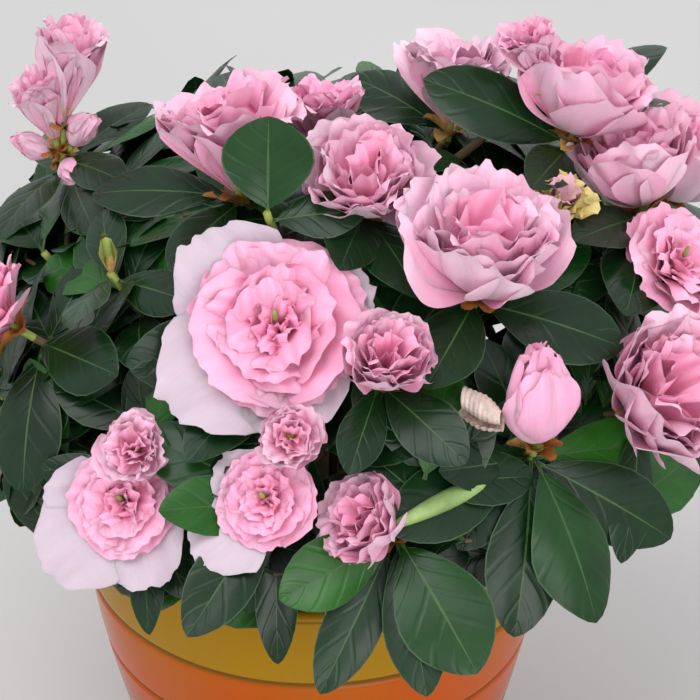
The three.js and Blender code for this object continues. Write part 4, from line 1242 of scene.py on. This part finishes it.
class AddTwigs(bpy.types.Operator):
    """Add the stems, twigs and side twigs of all the masses"""

    bl_idname = "azalea.add_twigs"
    bl_label = "Twigs"

    def execute(self, context):
        shoots, side_twigs, *_ = grow_plant(context.scene)
        t, few = np.linspace(0, 1, 12), np.linspace(0, 1, 12)[::2]
        stems = np.array([bezier(stem_controls(k), t) for k in range(len(MASSES))])
        ends = [shoot["leafy"] if is_hidden(shoot) else 1 for shoot in shoots]
        twigs = np.array([bezier(shoot["twig"], t * end) for shoot, end in zip(shoots, ends)])
        sides = np.array([bezier(twig["controls"], few) for twig in side_twigs if twig["leafy"]])
        stalks = np.array([
            bezier([shoot["at"] - shoot["out"] * 3, shoot["at"], bloom["foot"] + bloom["face"]], few)
            for shoot in shoots
            for bloom in shoot["blooms"]
        ])
        green = (np.arange(11) > 8).astype(int)
        batches = [
            tubes(stems, np.linspace(STEM["radius"], TWIG["radius"], 12), 10),
            tubes(twigs, np.linspace(TWIG["radius"], TWIG["tip_radius"], 12), 7, green),
            tubes(sides, np.linspace(*SIDE_TWIG["radii"], 6), 5),
            tubes(stalks, np.linspace(*STALK_RADII, 6), 7, colour=1),
        ]
        materials = [
            mottled("Twig skin", context.scene.azalea_crown.twig, 0.7, 0.002, 0.3, 0.0002),
            mottled("Green stalk", context.scene.azalea_bloom.bud, 0.55, 0.002, 0.25),
        ]
        make_piece("Twigs", batches, materials, FOLIAGE)
        return {"FINISHED"}


class AddLeaves(bpy.types.Operator):
    """Add the leaves, in whorls round the shoots and along the twigs"""

    bl_idname = "azalea.add_leaves"
    bl_label = "Leaves"

    def execute(self, context):
        s = context.scene.azalea_leaf
        *_, measured, filling = grow_plant(context.scene)
        materials = [
            blade_material("Dark leaf", s.dark, s.gloss),
            blade_material("Middle leaf", s.middle, s.gloss),
            blade_material("Young leaf", s.bright, s.gloss * 1.05),
            mottled("Midrib", s.rib, 0.5, 0.003, 0.2),
            mottled("Leaf margin", s.margin, 0.5, 0.003, 0.2),
            # Painted shade for the leaves inside the crown
            blade_material("Painted shade leaf", s.painted_shade, s.gloss * 1.2),
        ]
        batches = [leaf_batch(measured, *FINE_LEAF), leaf_batch(filling, *PLAIN_LEAF)]
        make_piece("Leaves", batches, materials, FOLIAGE)
        return {"FINISHED"}


class AddBlooms(bpy.types.Operator):
    """Add the petals of all the blooms, with finer ones on the viewer's side"""

    bl_idname = "azalea.add_blooms"
    bl_label = "Blooms"

    def execute(self, context):
        s = context.scene.azalea_bloom
        rng = np.random.default_rng(s.seed)
        materials = [petal_material(f"Petal {k + 1}", tone_colour(s, k / (TONES - 1))) for k in range(TONES)]
        materials += [petal_material("Petal foot", s.cream), petal_material("Broad petal", s.broad)]
        near, far = [], []
        for shoot in grow_shoots():
            for bloom in shoot["blooms"]:
                rows = petal_rows(rng, bloom, PETAL_RINGS[bloom["kind"]], shoot["petals"])
                (near if shoot["measured"] else far).extend(rows)
        half = len(near) // 2
        sets = (
            ("Left_petals", near[:half], FINE_PETAL),
            ("Right_petals", near[half:], FINE_PETAL),
            ("Rear_petals", far, COARSE_PETAL),
        )
        for name, rows, size in sets:
            table = table_of(rows)
            table["ruffle"] *= s.ruffle
            grids = petal_grids(table, *size, rng)
            batch = grid_batch(grids, petal_colours(table, *size, rng))
            make_piece(name, [batch], materials, FOLIAGE)
        return {"FINISHED"}


class AddBuds(bpy.types.Operator):
    """Add the scales under the blooms, the styles in them, and the leaf buds on bare shoots"""

    bl_idname = "azalea.add_buds"
    bl_label = "Scales and buds"

    def execute(self, context):
        s = context.scene.azalea_bloom
        rng = np.random.default_rng(s.seed + 1)
        materials = [
            mottled("Brown scale", s.scale, 0.6, 0.003, 0.35, 0.0002),
            mottled("Dry scale", s.tan, 0.65, 0.003, 0.3, 0.0002),
            mottled("Green bud", s.bud, 0.5, 0.003, 0.3, 0.0001),
            mottled("Fleshy rib", linear(140, 166, 98), 0.45, 0.004, 0.25, 0.0001),
        ]
        rows, styles = [], []
        shoots = grow_shoots()
        for shoot in shoots:
            for bloom in shoot["blooms"]:
                rows += scale_rows(rng, bloom)
                if bloom["kind"] == "open":
                    styles.append(style_path(bloom))
            bare = not shoot["blooms"] and not is_hidden(shoot)
            if bare and all(leaf["toward"] < 1 for leaf in shoot["leaves"]):
                upright = unit(shoot["out"] * 0.2 + vec(0, 0, 1))
                rows += bud_rows(rng, shoot["at"], upright, size=14 if shoot["measured"] else 7)
        table = table_of(rows)
        colours = table["tone"].astype(int)[:, None, None]
        ribs = np.array([rib_path(shoot) for shoot in shoots if shoot["rib"] is not None])
        swollen = 0.7 + 2.0 * np.sin(np.pi * np.linspace(0.05, 1, ribs.shape[1])).clip(0) ** 0.8
        batches = [
            grid_batch(petal_grids(table, 5, 6, rng, ragged=0.01), colours),
            tubes(np.array(styles), STYLE_RADII, 6, colour=2),
            tubes(ribs, swollen, 14, colour=3),
        ]
        make_piece("Bud_scales", batches, materials, FOLIAGE)
        return {"FINISHED"}


def scale_rows(rng, bloom):
    """Six papery scales that hold the foot of a bloom."""
    axes = axes_about(bloom["face"])
    seat = {"base": bloom["foot"] - bloom["face"] * 4, "axis": bloom["face"]}
    return [
        PAPER_SCALE | seat | {
            "radial": swung(*axes, k * 60 + rng.uniform(-14, 14)),
            "length": rng.uniform(0.35, 0.55) * min(bloom["radius"], 18) + 3,
            "start": rng.uniform(30, 60),
            "end": rng.uniform(50, 105),
            "tone": rng.choice([0, 0, 1]),
            "phase": rng.uniform(0, 6),
        }
        for k in range(6)
    ]


def bud_rows(rng, at, out, size):
    """A leaf bud of two rings of scales that close over its tip."""
    axes = axes_about(out)
    return [
        BUD_SCALE | {
            "base": at,
            "axis": out,
            "radial": swung(*axes, k * 360 / count + ring * 40),
            "length": length * rng.uniform(0.9, 1.1),
            "start": 36 - 8 * ring,
            "end": -30 + 8 * ring,
            "tone": 2 if ring else rng.choice([1, 2]),
        }
        for ring, (count, length) in enumerate(((4, 0.7 * size), (3, size)))
        for k in range(count)
    ]


def rib_path(shoot):
    """The middle line of a leaf with a fleshy midrib, from near its stalk to near its tip."""
    number = shoot["rib"]
    leaf = shoot["leaves"][number]
    root, up = leaf_seat(shoot, number)
    row = leaf_row(np.random.default_rng(1), root, leaf["way"], up, leaf["length"], leaf["width"], 0, 0.5)
    line = leaf_grids(table_of([row]), (-0.01, 0.01), np.linspace(0.2, 0.97, 14))[0].mean(axis=0)
    return line + up * 0.8


def style_path(bloom):
    """The style, from the foot of the bloom to just over its inner petals, slightly bent."""
    face, radius = bloom["face"], bloom["radius"]
    t = np.linspace(0, 1, 6)[:, None]
    return bloom["middle"] + face * radius * (-0.4 + 0.6 * t) + axes_about(face)[0] * radius * 0.1 * t**2


# The withered flower, its outer rings of petals as in PETAL_RINGS, and the dead petal with the turn and lean of its
# length and of its upper side
WITHERED = {"at": vec(68, -30, 236), "width": 16, "turn": -60, "lean": 20, "stretch": 0.9}
WITHERED_RINGS = ((6, 1.5, 0.4, 70, 40, 10, 0.5, 0.12, 2.2, 0), (5, 1.5, 0.36, 50, 10, 10, 0.8, 0.12, 2.2, 0))
DEAD_PETAL = {"middle": vec(45, -87, 208), "along": (-35, 100), "up": (-100, 40), "length": 14, "radius": 5.2}


class AddSpentPetals(bpy.types.Operator):
    """Add the withered flower between the upper blooms and the curled dead petal on a leaf"""

    bl_idname = "azalea.add_spent_petals"
    bl_label = "Spent petals"

    def execute(self, context):
        rng = np.random.default_rng(5)
        materials = [
            mottled("Withered petal", linear(218, 198, 128), 0.7, 0.003, 0.25, 0.0004),
            mottled("Withered pink", linear(226, 178, 190), 0.6, 0.003, 0.2, 0.0003),
            mottled("Dead petal", linear(212, 190, 178), 0.75, 0.0015, 0.25, 0.0004),
        ]
        flower = make_bloom(kind="half", **WITHERED)
        withered = table_of(petal_rows(rng, flower, (*WITHERED_RINGS, PETAL_RINGS["half"][3])))
        brown = sum(ring[0] for ring in WITHERED_RINGS)
        kinds = (np.arange(len(withered["tone"])) >= brown).astype(int)[:, None, None]
        ways = {key: direction(*DEAD_PETAL[key]) for key in ("along", "up")}
        dead = curled_petal(**DEAD_PETAL | ways)
        batches = [grid_batch(petal_grids(withered, 13, 9, rng, ragged=0.06), kinds), grid_batch(dead, 2)]
        make_piece("Spent_petals", batches, materials)
        return {"FINISHED"}


def curled_petal(middle, along, up, length, radius):
    """A petal rolled up on itself: a spiral round its length whose radius shrinks inward and to both ends."""
    u = np.linspace(0, 1, 26)[None, :, None]
    v = np.linspace(-1, 1, 61)[None, None, :]
    up = square_to(up, along)
    across = np.cross(along, up)
    turn = 1.2 + u * 8.2
    ridges = 1 + 0.035 * np.sin(26 * v + 2 * u)
    r = radius * (1 - 0.6 * u) * (1 - 0.5 * np.clip(v, 0, 1) ** 1.6 - 0.15 * np.clip(-v, 0, 1)) * ridges
    shift = (length / 2 * v * (1 - 0.25 * u) + 0.08 * length * np.sin(turn))[..., None]
    return middle + along * shift + up * (r * np.cos(turn))[..., None] + across * (r * np.sin(turn))[..., None]


class AddStage(bpy.types.Operator):
    """Add the pale floor, the soft lights and the camera at the photograph's angle"""

    bl_idname = "azalea.add_stage"
    bl_label = "Stage"

    def execute(self, context):
        s, wide = context.scene.azalea_stage, 6.0
        mesh = bpy.data.meshes.new("Floor")
        corners = [(-wide, -wide, 0), (wide, -wide, 0), (wide, wide, 0), (-wide, wide, 0)]
        mesh.from_pydata(corners, [], [(0, 1, 2, 3)])
        material = mottled("Floor", s.floor, 0.9, 0.2, 0.03, 0.0001)
        material.node_tree.nodes["Principled BSDF"].inputs["Specular IOR Level"].default_value = 0.1
        mesh.materials.append(material)
        floor = bpy.data.objects.new("Floor", mesh)
        context.scene.collection.objects.link(floor)
        for name, place, size, share in LIGHTS:
            soft_light(context, name, place, size, s.light * share)
        world = bpy.data.worlds.new("Studio")
        world.use_nodes = True
        sky = world.node_tree.nodes["Background"]
        sky.inputs["Color"].default_value = SKY_COLOUR
        sky.inputs["Strength"].default_value = s.sky
        context.scene.world = world
        context.scene.view_settings.view_transform = "Standard"
        lens = bpy.data.cameras.new("Camera")
        lens.lens = s.lens
        lens.sensor_width = 36
        lens.clip_start = 0.01
        camera = bpy.data.objects.new("Camera", lens)
        camera.location = CAMERA["place"]
        camera.rotation_euler = (math.radians(CAMERA["pitch"]), 0, 0)
        context.scene.collection.objects.link(camera)
        bpy.context.scene.camera = camera
        return {"FINISHED"}


def soft_light(context, name, place, size, power):
    """A square soft light that looks at the middle of the plant."""
    light = bpy.data.lights.new(name, "AREA")
    light.size = size
    light.energy = power
    lamp = bpy.data.objects.new(name, light)
    aim = vec(*LIT_POINT) - vec(*place)
    lamp.location = place
    pitch = math.acos(-aim[2] / np.linalg.norm(aim))
    lamp.rotation_euler = (pitch, 0, math.atan2(aim[1], aim[0]) - math.pi / 2)
    context.scene.collection.objects.link(lamp)


class AzaleaPanel(bpy.types.Panel):
    """Lists the pieces and their settings"""

    bl_idname = "AZALEA_PT_pieces"
    bl_label = "Potted azalea"
    bl_space_type = "VIEW_3D"
    bl_region_type = "UI"
    bl_category = "Azalea"

    def draw(self, context):
        for operator in OPERATORS:
            self.layout.operator(operator.bl_idname)
        for name, group in SETTINGS.items():
            box = self.layout.box()
            box.label(text=group.__doc__)
            for key in group.__annotations__:
                box.prop(getattr(context.scene, name), key)


SETTINGS = {
    "azalea_pot": PotSettings,
    "azalea_compost": CompostSettings,
    "azalea_crown": CrownSettings,
    "azalea_leaf": LeafSettings,
    "azalea_bloom": BloomSettings,
    "azalea_stage": StageSettings,
}
OPERATORS = (AddPot, AddCompost, AddWood, AddTwigs, AddLeaves, AddBlooms, AddBuds, AddSpentPetals, AddStage)
CLASSES = (*SETTINGS.values(), *OPERATORS, AzaleaPanel)


def register():
    for each in CLASSES:
        bpy.utils.register_class(each)
    for name, group in SETTINGS.items():
        setattr(bpy.types.Scene, name, PointerProperty(type=group))


def unregister():
    for name in SETTINGS:
        delattr(bpy.types.Scene, name)
    for each in reversed(CLASSES):
        bpy.utils.unregister_class(each)


def main():
    register()
    bpy.ops.azalea.add_pot()
    bpy.ops.azalea.add_compost()
    bpy.ops.azalea.add_wood()
    bpy.ops.azalea.add_twigs()
    bpy.ops.azalea.add_leaves()
    bpy.ops.azalea.add_blooms()
    bpy.ops.azalea.add_buds()
    bpy.ops.azalea.add_spent_petals()
    bpy.ops.azalea.add_stage()


if __name__ == "__main__":
    main()
